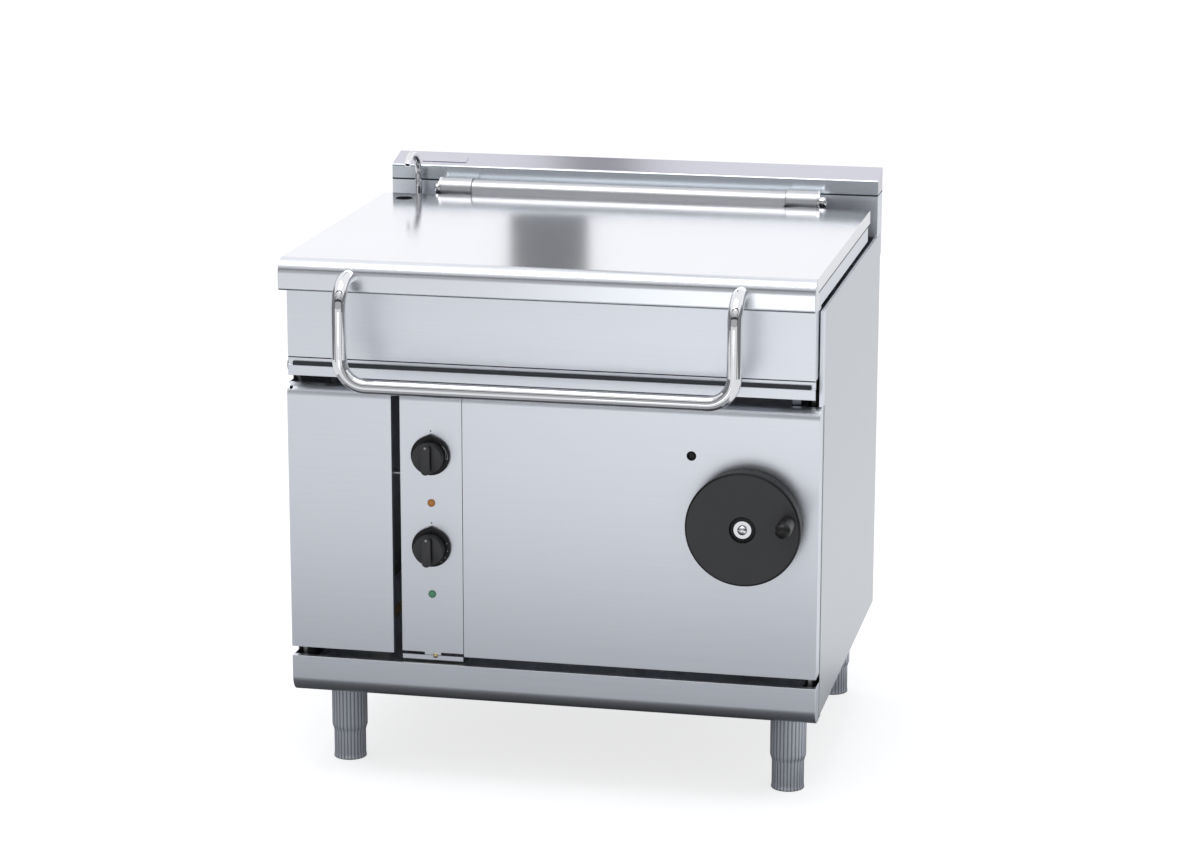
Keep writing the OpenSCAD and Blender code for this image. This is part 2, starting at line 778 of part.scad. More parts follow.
// water_valve: ball valve in the service bay, with its outlet to the pan
module water_valve() {
    z = z_base + gland_z;
    color([0.72, 0.55, 0.28]) {
        difference() {
            union() {
                block(-inlet_x - 16, -inlet_x + 16, valve_in - 22, valve_in + 22, z - 16, z + 16);
                translate([-inlet_x, y(valve_in), z + 15]) cylinder(d = 16, h = 15);
            }
            translate([-inlet_x, y(valve_in), z + 10]) cylinder(d = lever_d + 2 * run_fit, h = 30);
        }
        block(-inlet_x - 16, -inlet_x + 16, valve_in - 10, valve_in + 10, z_base + tube + sheet, z - 15);
    }
    supply_x = -(side_x - sheet + plate_x) / 2;
    color(steel) {
        rod_x(supply_x, -inlet_x - 15, valve_in - 12, z, supply_d);
        translate([supply_x, y(valve_in - 12), z]) cylinder(d = supply_d, h = z_pivot - z);
        translate([supply_x, y(valve_in - 12), z]) sphere(d = supply_d);
        translate([supply_x, y(valve_in - 12), z_pivot]) sphere(d = supply_d);
        rod_y(pivot_in, valve_in - 12, supply_x, z_pivot, supply_d);
        difference() {
            rod_x(-side_x + sheet + 1, -plate_x - 1, pivot_in, z_pivot, trunnion_d - 2);
            rod_x(-plate_x - 9, -plate_x, pivot_in, z_pivot, trunnion_bore + 0.2);
        }
    }
}

// valve_lever: quarter-turn lever of the water valve
module valve_lever() {
    z = z_base + gland_z;
    color([0.75, 0.12, 0.10]) {
        translate([-inlet_x, y(valve_in), z + 12]) cylinder(d = lever_d, h = 20);
        translate([-inlet_x, y(valve_in), z + 31]) cylinder(d = 20, h = 5);
        block(-inlet_x - 7, -inlet_x + 7, valve_in - 72, valve_in, z + 31, z + 36);
    }
}

reset_hole_d = 16;
button_d = 9;
// reset_switch: over-temperature cut-out behind its hole
module reset_switch() {
    color(dark) difference() {
        union() {
            rod_y(panel_in, panel_in + 2, reset_x, z_reset, reset_hole_d - 0.2);
            block(reset_x - 16, reset_x + 16, panel_in + sheet, panel_in + 40, z_reset - 16, z_reset + 16);
        }
        rod_y(panel_in - 1, panel_in + 8, reset_x, z_reset, reset_hole_d - 3);
        rod_y(panel_in - 1, panel_in + 30, reset_x, z_reset, 4 + 2 * run_fit);
    }
}
// reset_button: sprung plunger inside the hole
module reset_button() {
    color(dark) {
        rod_y(panel_in + 2, panel_in + 4.5, reset_x, z_reset, button_d);
        rod_y(panel_in + 4, panel_in + 24, reset_x, z_reset, 4);
    }
}

well_front = 62;
well_lean = 10;
rim_t = 3;
// inside of the well: leaning front wall and rounded bottom corners
module well_inside() {
    x = well_x - well_r;
    low = z_rim - well_deep + well_r;
    back = rim_back - 36;
    hull() {
        for (s = [-1, 1]) {
            translate([s * x, y(well_front + well_lean + well_r), low]) sphere(r = well_r, $fn = 24);
            translate([s * x, y(back - well_r), low]) sphere(r = well_r, $fn = 24);
            translate([s * x, y(well_front + well_r), z_rim]) cylinder(r = well_r, h = 2, $fn = 24);
            translate([s * x, y(back - well_r), z_rim]) cylinder(r = well_r, h = 2, $fn = 24);
        }
    }
}
// pan_well: thick-bottomed well with its rim and turned-down edges
module pan_well() {
    x = well_x + well_wall;
    color(bright) difference() {
        union() {
            block(-x, x, well_front - well_wall, rim_back - 36 + well_wall, z_rim - well_deep - well_bottom, z_rim);
            difference() {
                block(-pan_x, pan_x, fascia_in + sheet, rim_back, z_rim - rim_skirt, z_rim);
                block(rim_t - pan_x, pan_x - rim_t, fascia_in, rim_back - rim_t, z_rim - rim_skirt - 1, z_rim - rim_t);
            }
        }
        well_inside();
    }
}

casing_front = fascia_in + 12;
// pan_casing: insulated casing under the rim
module pan_casing() {
    low = z_band_low + 2;
    color(steel) difference() {
        block(-casing_x, casing_x, casing_front, rim_back - 14, low, z_rim - rim_t);
        block(sheet - casing_x, casing_x - sheet, casing_front + sheet, rim_back - 14 - sheet, low + sheet, z_rim);
    }
}

// pan_front: front face of the pan with its turned edges
module pan_front() {
    color(steel) {
        along_x(-pan_x, pan_x) polygon(bent([[casing_front, z_front_low], [fascia_in, z_front_low],
            [fascia_in, z_rim]], -sheet));
        for (s = [-1, 1]) block(min(s * pan_x, s * (pan_x - sheet)), max(s * pan_x, s * (pan_x - sheet)),
            fascia_in + sheet - eps, side_in - 4, z_front_low, z_rim - rim_skirt - 0.3);
    }
}

// pan_band: recessed strip and rounded lower band along the foot of the pan
module pan_band() {
    deep = 3.5;
    color(steel) along_x(-pan_x, pan_x) polygon(bent(concat([[fascia_in + deep, z_front_low],
        [fascia_in + deep, z_band_top]],
        ring([fascia_in + 3, z_band_top - 3], 3, 90, 180, 4),
        [[fascia_in, z_band_low], [fascia_in + deep + 1, z_band_low]]), sheet));
}

element_d = 8;
element_side = 64;
element_pitch = (well_x - element_side) / 3;
element_start = 40;
element_back = 211;
element_l = rim_back - element_back;
element_half = 24;
bar_side = 18;
bar_w = 20;
bar_in = 50;
stud_w = 12;
// heating_elements: bent rods clamped under the bottom of the well
module heating_elements() {
    z = z_rim - well_deep - well_bottom - element_d / 2;
    d0 = well_front + element_start;
    bar_x = well_x - bar_side;
    color([0.35, 0.33, 0.32]) for (i = [-3:3]) translate([i * element_pitch, y(d0), z]) {
        for (s = [-1, 1]) translate([s * element_half, 0, 0]) rotate([-90, 0, 0]) cylinder(d = element_d, h = element_l);
        translate([0, element_l, 0]) rotate_extrude(angle = 180) translate([element_half, 0]) circle(d = element_d);
    }
    color(zinc) for (d = [d0 + bar_in, d0 + element_l - 2 * bar_in]) {
        block(-bar_x, bar_x, d, d + bar_w, z - element_d / 2 - 3, z - element_d / 2 + 0.5);
        for (x = [-bar_x, bar_x - stud_w]) block(x, x + stud_w, d, d + bar_w, z - element_d / 2, z + element_d / 2);
    }
}

trunnion_bore = 12;
// trunnion plate and journal on one side of the pan
module trunnion(s) {
    x0 = s * casing_x;
    x1 = s * (plate_x + 0.5);
    color(zinc) {
        along_x(min(x0, x0 + s * plate_t), max(x0, x0 + s * plate_t))
            polygon([[casing_front, z_band_low + 2], [pivot_in + 110, z_band_low + 2],
                [pivot_in + 110, z_pivot + 30], [pivot_in + 50, z_pivot + 80], [casing_front, z_pivot + 80]]);
        rod_x(min(x0, x1), max(x0, x1), pivot_in, z_pivot, trunnion_d);
    }
}
module trunnion_left() {
    difference() {
        trunnion(-1);
        rod_x(-plate_x - 10, -casing_x - plate_t - 4, pivot_in, z_pivot, trunnion_bore);
    }
}
module trunnion_right() { trunnion(1); }

// toothed edge of the sector: two points on each flank
tooth_top = 0.75;
tooth_root = 1.2;
last_tooth = 2;
first_tooth = -ceil(tilt_max * sector_z / 360) - 2;
function tooth(k) = let (p = 360 / sector_z, w = p / 4 - backlash / sector_r * 90 / PI,
    t = worm_m * tan(20) / sector_r * 180 / PI) [
    (sector_r - tooth_root * worm_m) * dir(k * p - w - tooth_root * t),
    (sector_r + tooth_top * worm_m) * dir(k * p - w + tooth_top * t),
    (sector_r + tooth_top * worm_m) * dir(k * p + w - tooth_top * t),
    (sector_r - tooth_root * worm_m) * dir(k * p + w + tooth_root * t)];
// tilt_sector: worm gear segment keyed to the right trunnion
module tilt_sector() {
    a0 = (first_tooth - 0.6) * 360 / sector_z;
    a1 = (last_tooth + 0.6) * 360 / sector_z;
    rim = sector_r - tooth_root * worm_m;
    twist = -sector_w * tan(lead_angle) / sector_r * 180 / PI;
    edge_pts = [for (k = [first_tooth:last_tooth]) each tooth(k)];
    color([0.45, 0.46, 0.48]) translate([sector_x, y(pivot_in), z_pivot]) rotate([90, 0, 90]) difference() {
        union() {
            rotate(twist / 2) linear_extrude(sector_w, center = true, twist = twist, slices = 1) difference() {
                polygon(concat([[0, 0], rim * dir(a0)], edge_pts, [rim * dir(a1)]));
                polygon(concat(ring([0, 0], rim - 16, a0 + 12, a1 - 12, 12), ring([0, 0], 38, a1 - 25, a0 + 25, 4)));
            }
            translate([0, 0, -sector_w / 2 - 3]) cylinder(d = trunnion_d + 12, h = sector_w + 6);
        }
        translate([0, 0, -sector_w]) cylinder(d = trunnion_d, h = 2 * sector_w);
    }
}

// hinge_blocks: bearing sleeves behind the pan with their necks to the rim
module hinge_blocks() {
    color(steel) for (s = [-1, 1]) {
        x0 = s > 0 ? hinge_x0 : -hinge_x1;
        difference() {
            union() {
                rod_x(x0, x0 + hinge_block_w, hinge_in, z_hinge, hinge_block_d);
                block(x0 + 4, x0 + hinge_block_w - 4, rim_back, hinge_in + 12, z_rim - rim_skirt, z_rim - 3);
                block(x0 + 4, x0 + hinge_block_w - 4, hinge_in - 14, hinge_in + 14, z_rim - 4, z_hinge);
            }
            rod_x(x0 - 1, x0 + hinge_block_w + 1, hinge_in, z_hinge, hinge_shaft_d);
        }
    }
}
// hinge_shaft: fixed shaft through both hinge blocks
module hinge_shaft() {
    x = hinge_x1 + 6;
    color(zinc) rod_x(-x, x, hinge_in, z_hinge, hinge_shaft_d);
}

tube_gap = 0.6;
plug = 14;
arm_in = 87;
arm_w = 40;
// hinge_tube: tube around the shaft with the arms that carry the lid
module hinge_tube() {
    x = hinge_x0 - tube_gap;
    color(steel) difference() {
        union() {
            rod_x(-x, x, hinge_in, z_hinge, hinge_tube_d);
            for (s = [-1, 1]) translate([s * (hinge_x0 - arm_in), 0, 0])
                block(-arm_w / 2, arm_w / 2, lid_d, hinge_in, z_hinge - 14, z_hinge - 6);
        }
        rod_x(plug - x, x - plug, hinge_in, z_hinge, hinge_tube_d - 4);
        rod_x(-x - 1, x + 1, hinge_in, z_hinge, hinge_shaft_d + 2 * run_fit);
    }
}

function coil(r, wire, turns, rise, n) = [for (i = [0:turns * n]) for (k = [0:4])
    let (a = i * 360 / n, c = wire / 2 * dir(k * 72)) [(r + c.x) * cos(a), (r + c.x) * sin(a), rise * i / n + c.y]];
function tube_faces(rings, m) = concat([[for (k = [m - 1:-1:0]) k]],
    [for (i = [0:rings - 2]) for (k = [0:m - 1]) let (a = i * m + k, b = i * m + (k + 1) % m) [a, b, b + m, a + m]],
    [[for (k = [0:m - 1]) (rings - 1) * m + k]]);
// lid_springs: counterbalance springs around the shaft inside the hinge tube
module lid_springs() {
    n = 9;
    r = (hinge_shaft_d + hinge_tube_d - 4) / 4;
    x = hinge_x0 - tube_gap - plug - spring_wire / 2 * sin(72);
    color(zinc) for (s = [-1, 1]) translate([s * x, y(hinge_in), z_hinge]) rotate([0, -s * 90, 0])
        polyhedron(coil(r, spring_wire, spring_turns, spring_wire * 2, n), tube_faces(spring_turns * n + 1, 5));
}

// lid cross-section in depth and height, shrunk by t
module lid_section(t) {
    round_top = ring([lid_r, z_lid - lid_r], lid_r - t, 90, 180, 6);
    round_low = ring([6, z_lid_low + 6], 6 - t, 180, 270, 3);
    polygon(concat([[lid_d - t, z_lid - t]], round_top, round_low,
        [[lid_front_d - t, z_lid_low + t], [lid_front_d - t, z_rim + lid_seat + t], [lid_d - t, z_rim + lid_seat + t]]));
}
// lid_skin: folded outer skin with its thick rounded front
module lid_skin() {
    z0 = z_rim + lid_seat;
    color(bright) difference() {
        along_x(-lid_x, lid_x) lid_section(0);
        along_x(sheet - lid_x, lid_x - sheet) lid_section(sheet);
        block(sheet - lid_x, lid_x - sheet, lid_front_d + 2, lid_d - sheet, z0 - 1, z0 + sheet + 1);
        translate([-fill_x, y(fill_in), z_lid - 10]) cylinder(d = fill_d, h = 20);
    }
}
// lid_liner: inner sheet of the lid with the collar of the fill hole
module lid_liner() {
    z0 = z_rim + lid_seat;
    x = lid_x - sheet - 0.4;
    color(steel) difference() {
        union() {
            block(-x, x, lid_front_d + 2.4, lid_d - sheet - 0.4, z0, z0 + sheet);
            translate([-fill_x, y(fill_in), z0]) cylinder(d = fill_d + 4, h = lid_h - sheet - 0.3);
        }
        translate([-fill_x, y(fill_in), z0 - 1]) cylinder(d = fill_d, h = lid_h + 2);
    }
}

// lid_handle: one bent tube across the front of the lid
module lid_handle() {
    x = side_x - handle_side;
    r = handle_r;
    color(bright) {
        for (s = [-1, 1]) {
            rod_y(r - handle_out, 0, s * x, z_handle, handle_d);
            translate([s * x, y(r - handle_out), z_handle - r]) rotate([90, 0, -90]) rotate_extrude(angle = 90)
                translate([r, 0]) circle(d = handle_d);
            translate([s * x, y(-handle_out), z_handle - handle_drop + r]) cylinder(d = handle_d, h = handle_drop - 2 * r);
            translate([s * (x - r), y(-handle_out), z_handle - handle_drop + r]) rotate([90, 0, 0])
                rotate(s > 0 ? 270 : 180) rotate_extrude(angle = 90) translate([r, 0]) circle(d = handle_d);
        }
        rod_x(r - x, x - r, -handle_out, z_handle - handle_drop, handle_d);
    }
}

socket_h = 14;
z_socket = z_rim - 16;
// water_riser: pipe on the pan from the hollow trunnion to the spout's socket
module water_riser() {
    x = -fill_x;
    bend = 12;
    color(steel) {
        difference() {
            rod_y(pivot_in + trunnion_bore / 2, spout_in - bend, x, z_pivot, 9);
            rod_x(x - 20, x + 20, pivot_in, z_pivot, trunnion_d);
        }
        translate([x, y(spout_in - bend), z_pivot + bend]) rotate([90, 0, 90]) rotate(270)
            rotate_extrude(angle = 90) translate([bend, 0]) circle(d = 9);
        translate([x, y(spout_in), z_pivot + bend]) cylinder(d = 9, h = z_socket - z_pivot - bend);
        difference() {
            union() {
                translate([x, y(spout_in), z_socket]) cylinder(d = spout_d + 8, h = socket_h);
                block(x - 8, x + 8, rim_back, spout_in, z_socket, z_socket + 8);
            }
            translate([x, y(spout_in), z_socket + 4]) cylinder(d = spout_d + 2 * run_fit, h = socket_h);
        }
    }
}

spout_wall = 2;
module swan_neck(dia, low, turn) {
    translate([-fill_x, y(spout_in), low]) cylinder(d = dia, h = z_spout - low);
    translate([-fill_x, y(spout_in - spout_r), z_spout]) rotate([90, 0, 90]) rotate_extrude(angle = turn)
        translate([spout_r, 0]) circle(d = dia);
}
// spout: open swan neck that swings over the fill hole
module spout() {
    color(bright) difference() {
        swan_neck(spout_d, z_socket + 5, spout_bend);
        swan_neck(spout_d - 2 * spout_wall, z_socket + 4, spout_bend + 2);
    }
}

// screw gear outline in its transverse plane
screw_pa = atan(tan(20) / cos(45));
function inv(a) = tan(a) * 180 / PI - a;
function flank(r) = 90 / screw_z - backlash / cos(45) / screw_r * 45 / PI + inv(screw_pa) - inv(acos(screw_r * cos(screw_pa) / r));
screw_steps = [screw_r - 1.2 * screw_m, screw_r, screw_tip];
module screw_gear() {
    twist = screw_w / screw_r * 180 / PI;
    rotate(twist / 2) linear_extrude(screw_w, center = true, twist = twist, slices = 5)
        polygon([for (k = [0:screw_z - 1]) each concat(
            [for (i = [0:2]) screw_steps[i] * dir(k * 360 / screw_z - flank(screw_steps[i]))],
            [for (i = [2:-1:0]) screw_steps[i] * dir(k * 360 / screw_z + flank(screw_steps[i]))])]);
}

// worm thread as rings along a helix
thread_top = 0.8;
thread_root = 1.25;
module worm_thread() {
    n = 24;
    pitch = PI * worm_m;
    turns = floor(worm_l / pitch);
    w = pitch / 4 - backlash / 4;
    t = worm_m * tan(20);
    sec = [[-thread_root, -w - thread_root * t], [thread_top, -w + thread_top * t],
        [thread_top, w - thread_top * t], [-thread_root, w + thread_root * t]];
    pts = [for (i = [0:turns * n]) for (c = sec) let (a = i * 360 / n - turns * 180)
        [(worm_r + c.x * worm_m) * cos(a), (worm_r + c.x * worm_m) * sin(a), pitch * a / 360 + c.y]];
    polyhedron(pts, tube_faces(turns * n + 1, 4));
}
// worm_shaft: upright shaft with the worm and the lower screw gear
module worm_shaft() {
    core = worm_r - thread_root * worm_m;
    color([0.55, 0.56, 0.58]) translate([sector_x, y(worm_d), 0]) {
        translate([0, 0, z_worm_low]) cylinder(d = drive_d, h = z_worm_top - z_worm_low);
        translate([0, 0, z_pivot]) {
            cylinder(r = core + 0.4, h = worm_l + 4, center = true);
            rotate(90) worm_thread();
        }
        translate([0, 0, z_wheel]) rotate(180 / screw_z) screw_gear();
    }
}

stud_d = 8;
hub_in = 8;
// wheel_shaft: handwheel shaft with its screw gear
module wheel_shaft() {
    color([0.55, 0.56, 0.58]) {
        rod_y(wheel_front + hub_in, wheel_end, wheel_x, z_wheel, drive_d);
        rod_y(wheel_front + 1, wheel_front + hub_in + eps, wheel_x, z_wheel, stud_d);
        translate([wheel_x, y(worm_d), z_wheel]) rotate([-90, 0, 0]) screw_gear();
    }
}

recess = 4;
// puts children at the grip's place, measured forward from the front of the wheel
module at_grip() {
    translate([wheel_x + grip_r * cos(grip_angle), y(wheel_front), z_wheel + grip_r * sin(grip_angle)])
        rotate([90, 0, 0]) children();
}
// handwheel: dished wheel with a deep rim
module handwheel() {
    r = wheel_d / 2;
    color(dark) difference() {
        translate([wheel_x, y(wheel_front), z_wheel]) rotate([-90, 0, 0]) rotate_extrude($fn = 96)
            polygon(concat([[stud_d / 2, recess], [20, recess], [22, 0]],
                ring([r - 5, 5], 5, -90, 0, 5), ring([r - 4, wheel_depth - 2], 2, 0, 90, 3),
                [[r - 8, wheel_depth], [r - 9, 9], [20, 9], [20, wheel_depth - 4], [drive_d / 2, wheel_depth - 4],
                [drive_d / 2, hub_in], [stud_d / 2, hub_in]]));
        at_grip() translate([0, 0, -20]) cylinder(d = stud_d, h = 30);
    }
}
// wheel_fasteners: domed nut of the wheel and spindle of the grip
module wheel_fasteners() {
    color(bright) translate([wheel_x, y(wheel_front + recess), z_wheel]) rotate([90, 0, 0]) difference() {
        union() {
            cylinder(r = 14.5, h = 1.5);
            cylinder(r = 8, h = 4.5);
            translate([0, 0, 0.7]) intersection() {
                sphere(r = 8.86);
                cylinder(r = 8, h = 9);
            }
        }
        translate([0, 0, -1]) cylinder(d = stud_d, h = recess);
    }
    color(zinc) at_grip() {
        translate([0, 0, -9]) cylinder(d = stud_d, h = grip_l - 5);
        translate([0, 0, grip_l - 14 - eps]) cylinder(d = 14, h = 3);
    }
}
// wheel_grip: revolving grip on its spindle
module wheel_grip() {
    r = grip_d / 2;
    l = grip_l;
    bore = stud_d / 2 + run_fit;
    color(dark) at_grip() rotate_extrude()
        polygon(concat([[bore, 0.5], [10, 0.5], [10, 5], [r - 1, 12], [r, 30]], ring([r - 12, l - 12], 12, 0, 90, 5),
            [[0, l], [0, l - 8], [8, l - 8], [8, l - 14.2], [bore, l - 14.2]]));
}

base_frame();
leg_sleeves();
base_rail();
floor_tray();
side_panel_left();
side_panel_right();
back_panel();
pivot_plates();
pivot_bushes();
cross_rail();
front_panel();
control_panel();
splashback();
splashback_cap();
name_plate();
worm_brackets();
wheel_bush();
amber_lamp();
green_lamp();
thermostat();
selector_switch();
contactor();
terminal_block();
cable_gland();
water_inlet();
water_valve();
reset_switch();
door_pins();
door_catch();
foot_front_left();
foot_front_right();
foot_rear_left();
foot_rear_right();
door_panel();
upper_knob();
lower_knob();
reset_button();
valve_lever();
pan_well();
pan_casing();
pan_front();
pan_band();
heating_elements();
trunnion_left();
trunnion_right();
tilt_sector();
hinge_blocks();
hinge_shaft();
water_riser();
lid_skin();
lid_liner();
lid_handle();
hinge_tube();
lid_springs();
spout();
worm_shaft();
wheel_shaft();
handwheel();
wheel_fasteners();
wheel_grip();
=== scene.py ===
# %% [markdown]
# A tilting bratt pan in satin and polished stainless steel.
# The solid model already has every piece at its real size, so this lesson is about finish:
# how folded sheet catches light on its edges, how brushed and polished steel differ,
# and how small repeated details are grown with Geometry Nodes.
# Lengths are metres, X runs to the right, Y to the back and Z up.

# %% Load the frame
import json
import math

import bmesh
import bpy
from mathutils import Matrix, Vector

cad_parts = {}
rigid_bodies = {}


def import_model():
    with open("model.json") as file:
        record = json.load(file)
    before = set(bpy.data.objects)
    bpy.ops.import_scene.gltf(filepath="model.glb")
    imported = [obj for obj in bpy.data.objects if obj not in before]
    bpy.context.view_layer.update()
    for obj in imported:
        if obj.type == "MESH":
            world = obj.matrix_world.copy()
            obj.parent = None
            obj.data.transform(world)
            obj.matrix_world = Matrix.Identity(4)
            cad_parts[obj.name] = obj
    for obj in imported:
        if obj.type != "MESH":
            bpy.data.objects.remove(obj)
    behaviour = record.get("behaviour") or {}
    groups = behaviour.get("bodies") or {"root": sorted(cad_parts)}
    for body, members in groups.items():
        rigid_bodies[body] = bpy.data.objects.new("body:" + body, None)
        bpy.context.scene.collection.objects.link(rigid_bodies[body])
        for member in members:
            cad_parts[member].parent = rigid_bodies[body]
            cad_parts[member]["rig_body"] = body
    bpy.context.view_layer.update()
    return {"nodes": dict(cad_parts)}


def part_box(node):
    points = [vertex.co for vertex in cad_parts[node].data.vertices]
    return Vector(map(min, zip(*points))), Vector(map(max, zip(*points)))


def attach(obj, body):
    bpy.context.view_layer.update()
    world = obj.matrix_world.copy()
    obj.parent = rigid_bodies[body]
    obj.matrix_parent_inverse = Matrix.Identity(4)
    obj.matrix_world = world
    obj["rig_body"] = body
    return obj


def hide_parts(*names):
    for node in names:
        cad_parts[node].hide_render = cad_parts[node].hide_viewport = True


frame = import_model()
nodes = frame["nodes"]
scene = bpy.context.scene
MM = 0.001

# %% [markdown]
# The camera stands in front of the right-hand end, a little above the lid, and looks down.
# A long lens keeps the upright edges nearly parallel, as in a catalogue picture.
# Its three turns are written apart: down, to the left, and a hair of roll.

# %% Camera
camera_data = bpy.data.cameras.new("catalogue_camera")
camera_data.sensor_width = 36.0
camera_data.lens = 102.17
camera_data.clip_end = 200.0
camera = bpy.data.objects.new("catalogue_camera", camera_data)
scene.collection.objects.link(camera)
camera.location = (1.1951, -5.5770, 1.9579)
look_left = Matrix.Rotation(math.radians(11.903), 3, "Z")
look_down = Matrix.Rotation(math.radians(90 - 13.706), 3, "X")
roll = Matrix.Rotation(math.radians(0.087), 3, "Z")
camera.rotation_euler = (look_left @ look_down @ roll).to_euler()
scene.camera = camera
scene.view_settings.view_transform = "Standard"
print("camera turned by", [round(math.degrees(angle), 2) for angle in camera.rotation_euler])

# %% [markdown]
# A finish is a small network of shader nodes. Writing it link by link hides the idea,
# so one class wraps an output socket and lets plain arithmetic add the Math nodes,
# and a second class owns a node tree and adds any other node with one method.


# %% Shader maths as expressions
def feed(tree, socket, value):
    """Links a wire to a socket, or sets the socket's own value."""
    if isinstance(value, Wire):
        tree.links.new(value.socket, socket)
    else:
        socket.default_value = value


class Wire:
    """An output socket that can be added to, multiplied and so on."""

    def __init__(self, tree, socket):
        self.tree = tree
        self.socket = socket

    def maths(self, operation, first, second=0.0, third=0.0):
        node = self.tree.nodes.new("ShaderNodeMath")
        node.operation = operation
        for socket, value in zip(node.inputs, (first, second, third)):
            feed(self.tree, socket, value)
        return Wire(self.tree, node.outputs[0])

    def __add__(self, other):
        return self.maths("ADD", self, other)

    def __radd__(self, other):
        return self.maths("ADD", other, self)

    def __sub__(self, other):
        return self.maths("SUBTRACT", self, other)

    def __rsub__(self, other):
        return self.maths("SUBTRACT", other, self)

    def __mul__(self, other):
        return self.maths("MULTIPLY", self, other)

    def __rmul__(self, other):
        return self.maths("MULTIPLY", other, self)

    def __truediv__(self, other):
        return self.maths("DIVIDE", self, other)

    def __lt__(self, other):
        return self.maths("LESS_THAN", self, other)

    def __gt__(self, other):
        return self.maths("GREATER_THAN", self, other)

    def near(self, value, reach):
        """1 where this lies within reach of a value."""
        return self.maths("COMPARE", self, value, reach)


# %% Networks and finishes
class Network:
    """A tree of nodes that is built one node at a time."""

    def __init__(self, tree):
        self.tree = tree

    def add(self, kind, inputs=None, output=0, **settings):
        node = self.tree.nodes.new(kind)
        for name, value in settings.items():
            if name == "stops":
                ramp = node.color_ramp
                ramp.elements[0].position, ramp.elements[0].color = value[0]
                ramp.elements[1].position, ramp.elements[1].color = value[-1]
                for position, colour in value[1:-1]:
                    ramp.elements.new(position).color = colour
            else:
                setattr(node, name, value)
        for name, value in (inputs or {}).items():
            feed(self.tree, node.inputs[name], value)
        return Wire(self.tree, node.outputs[output])


class Finish(Network):
    """A material with its Principled shader."""

    def __init__(self, name, slot=None):
        self.material = bpy.data.materials.new(name)
        self.material.use_nodes = True
        self.slot = slot
        super().__init__(self.material.node_tree)
        self.shader = self.tree.nodes["Principled BSDF"]

    def place(self, scale=(1, 1, 1), turn=(0, 0, 0), shift=(0, 0, 0)):
        here = self.add("ShaderNodeTexCoord", output="Object")
        inputs = {"Vector": here, "Scale": scale, "Rotation": turn, "Location": shift}
        return self.add("ShaderNodeMapping", inputs)

    def along(self, axis):
        """How far a point lies along X, Y or Z, in metres."""
        return self.add("ShaderNodeSeparateXYZ", {"Vector": self.place()}, output="XYZ".index(axis))

    def noise(self, scale, detail=2.0, spread=(1, 1, 1)):
        inputs = {"Vector": self.place(spread), "Scale": scale, "Detail": detail}
        return self.add("ShaderNodeTexNoise", inputs)

    def mix(self, amount, low, high):
        return self.add("ShaderNodeMix", {"Factor": amount, 6: low, 7: high}, output=2, data_type="RGBA")

    def bump(self, height, strength, distance):
        return self.add("ShaderNodeBump", {"Height": height, "Strength": strength, "Distance": distance})

    def set(self, **values):
        for name, value in values.items():
            feed(self.tree, self.shader.inputs[name.replace("_", " ")], value)
        return self


# %% [markdown]
# Brushed sheet is rolled steel that an abrasive belt has scratched along one direction.
# Real scratches are far finer than a pixel, so they are read as a blurred reflection.
# A long noise along the grain varies that blur a little, and broad soft patches keep
# a large flat panel from looking like plastic.


# %% Brushed and polished steel
def rgba(red, green, blue):
    return (red, green, blue, 1.0)


def shades(tint, dark, light):
    """The darker and the lighter colour between which a finish varies."""
    return [rgba(*(channel * share for channel in tint)) for share in (dark, light)]


def brushed(name, slot, tint, rough, along=(2.0, 2.0, 420.0), grain=0.05, wave=0.0006, front=None):
    """Steel with a grain; front is (depth, tint, blur) of what lies before that depth."""
    f = Finish(name, slot)
    scratches = f.noise(1.0, 3.0, along)
    patches = f.noise(3.2, 2.0)
    share = scratches * 0.6 + patches * 0.4
    colour = f.mix(share, *shades(tint, 0.94, 1.04))
    blur = scratches * grain + patches * 0.04 + (rough - grain / 2 - 0.02)
    if front:
        depth, front_tint, front_blur = front
        ahead = f.along("Y") < depth
        colour = f.mix(ahead, colour, f.mix(share, *shades(front_tint, 0.96, 1.03)))
        blur = blur + ahead * (front_blur - rough)
    f.set(Base_Color=colour, Roughness=blur, Metallic=1.0)
    if wave:
        f.set(Normal=f.bump(patches, 0.25, wave))
    return f


STEEL = (0.83, 0.855, 0.91)
ACROSS, UPRIGHT, DEEP = (2.0, 420.0, 420.0), (2.0, 420.0, 2.0), (420.0, 2.0, 2.0)
LID_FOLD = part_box("lid_skin")[0][1] + 24.5 * MM
CAP_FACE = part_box("splashback_cap")[0][1] + 1.5 * MM
satin = brushed("satin_sheet", "satin_steel", STEEL, 0.36)
satin_side = brushed("satin_side_sheet", "satin_steel", (0.70, 0.72, 0.74), 0.40, UPRIGHT)
lid_sheet = brushed("polished_lid_sheet", "bright_steel", (0.92, 0.92, 0.945), 0.13, DEEP, 0.03, 0.0002,
                    (LID_FOLD, (0.80, 0.82, 0.86), 0.24))
# The cap's front face gets a darker tint than its slope: painted shade, standing for the dark surroundings
# that the front face reflects.
cap_sheet = brushed("polished_cap_sheet", "bright_steel", (0.66, 0.655, 0.72), 0.20, ACROSS, 0.03, 0.0002,
                    (CAP_FACE, (0.58, 0.625, 0.67), 0.26))
tube_steel = brushed("polished_tube", "bright_steel", (0.84, 0.845, 0.86), 0.05, (2.0, 60.0, 60.0), 0.01, 0.0)
hinge_steel = brushed("satin_hinge_tube", "bright_steel", (0.62, 0.63, 0.65), 0.36, DEEP, 0.03, 0.0)
zinc = brushed("zinc_plate", "zinc_steel", (0.50, 0.51, 0.50), 0.45, (60.0, 60.0, 60.0))
gear_steel = brushed("oiled_gear_steel", "gear_steel", (0.30, 0.31, 0.33), 0.30, (8.0, 8.0, 500.0))
bronze = brushed("turned_bronze", "bronze", (0.62, 0.45, 0.20), 0.30, (500.0, 8.0, 8.0))
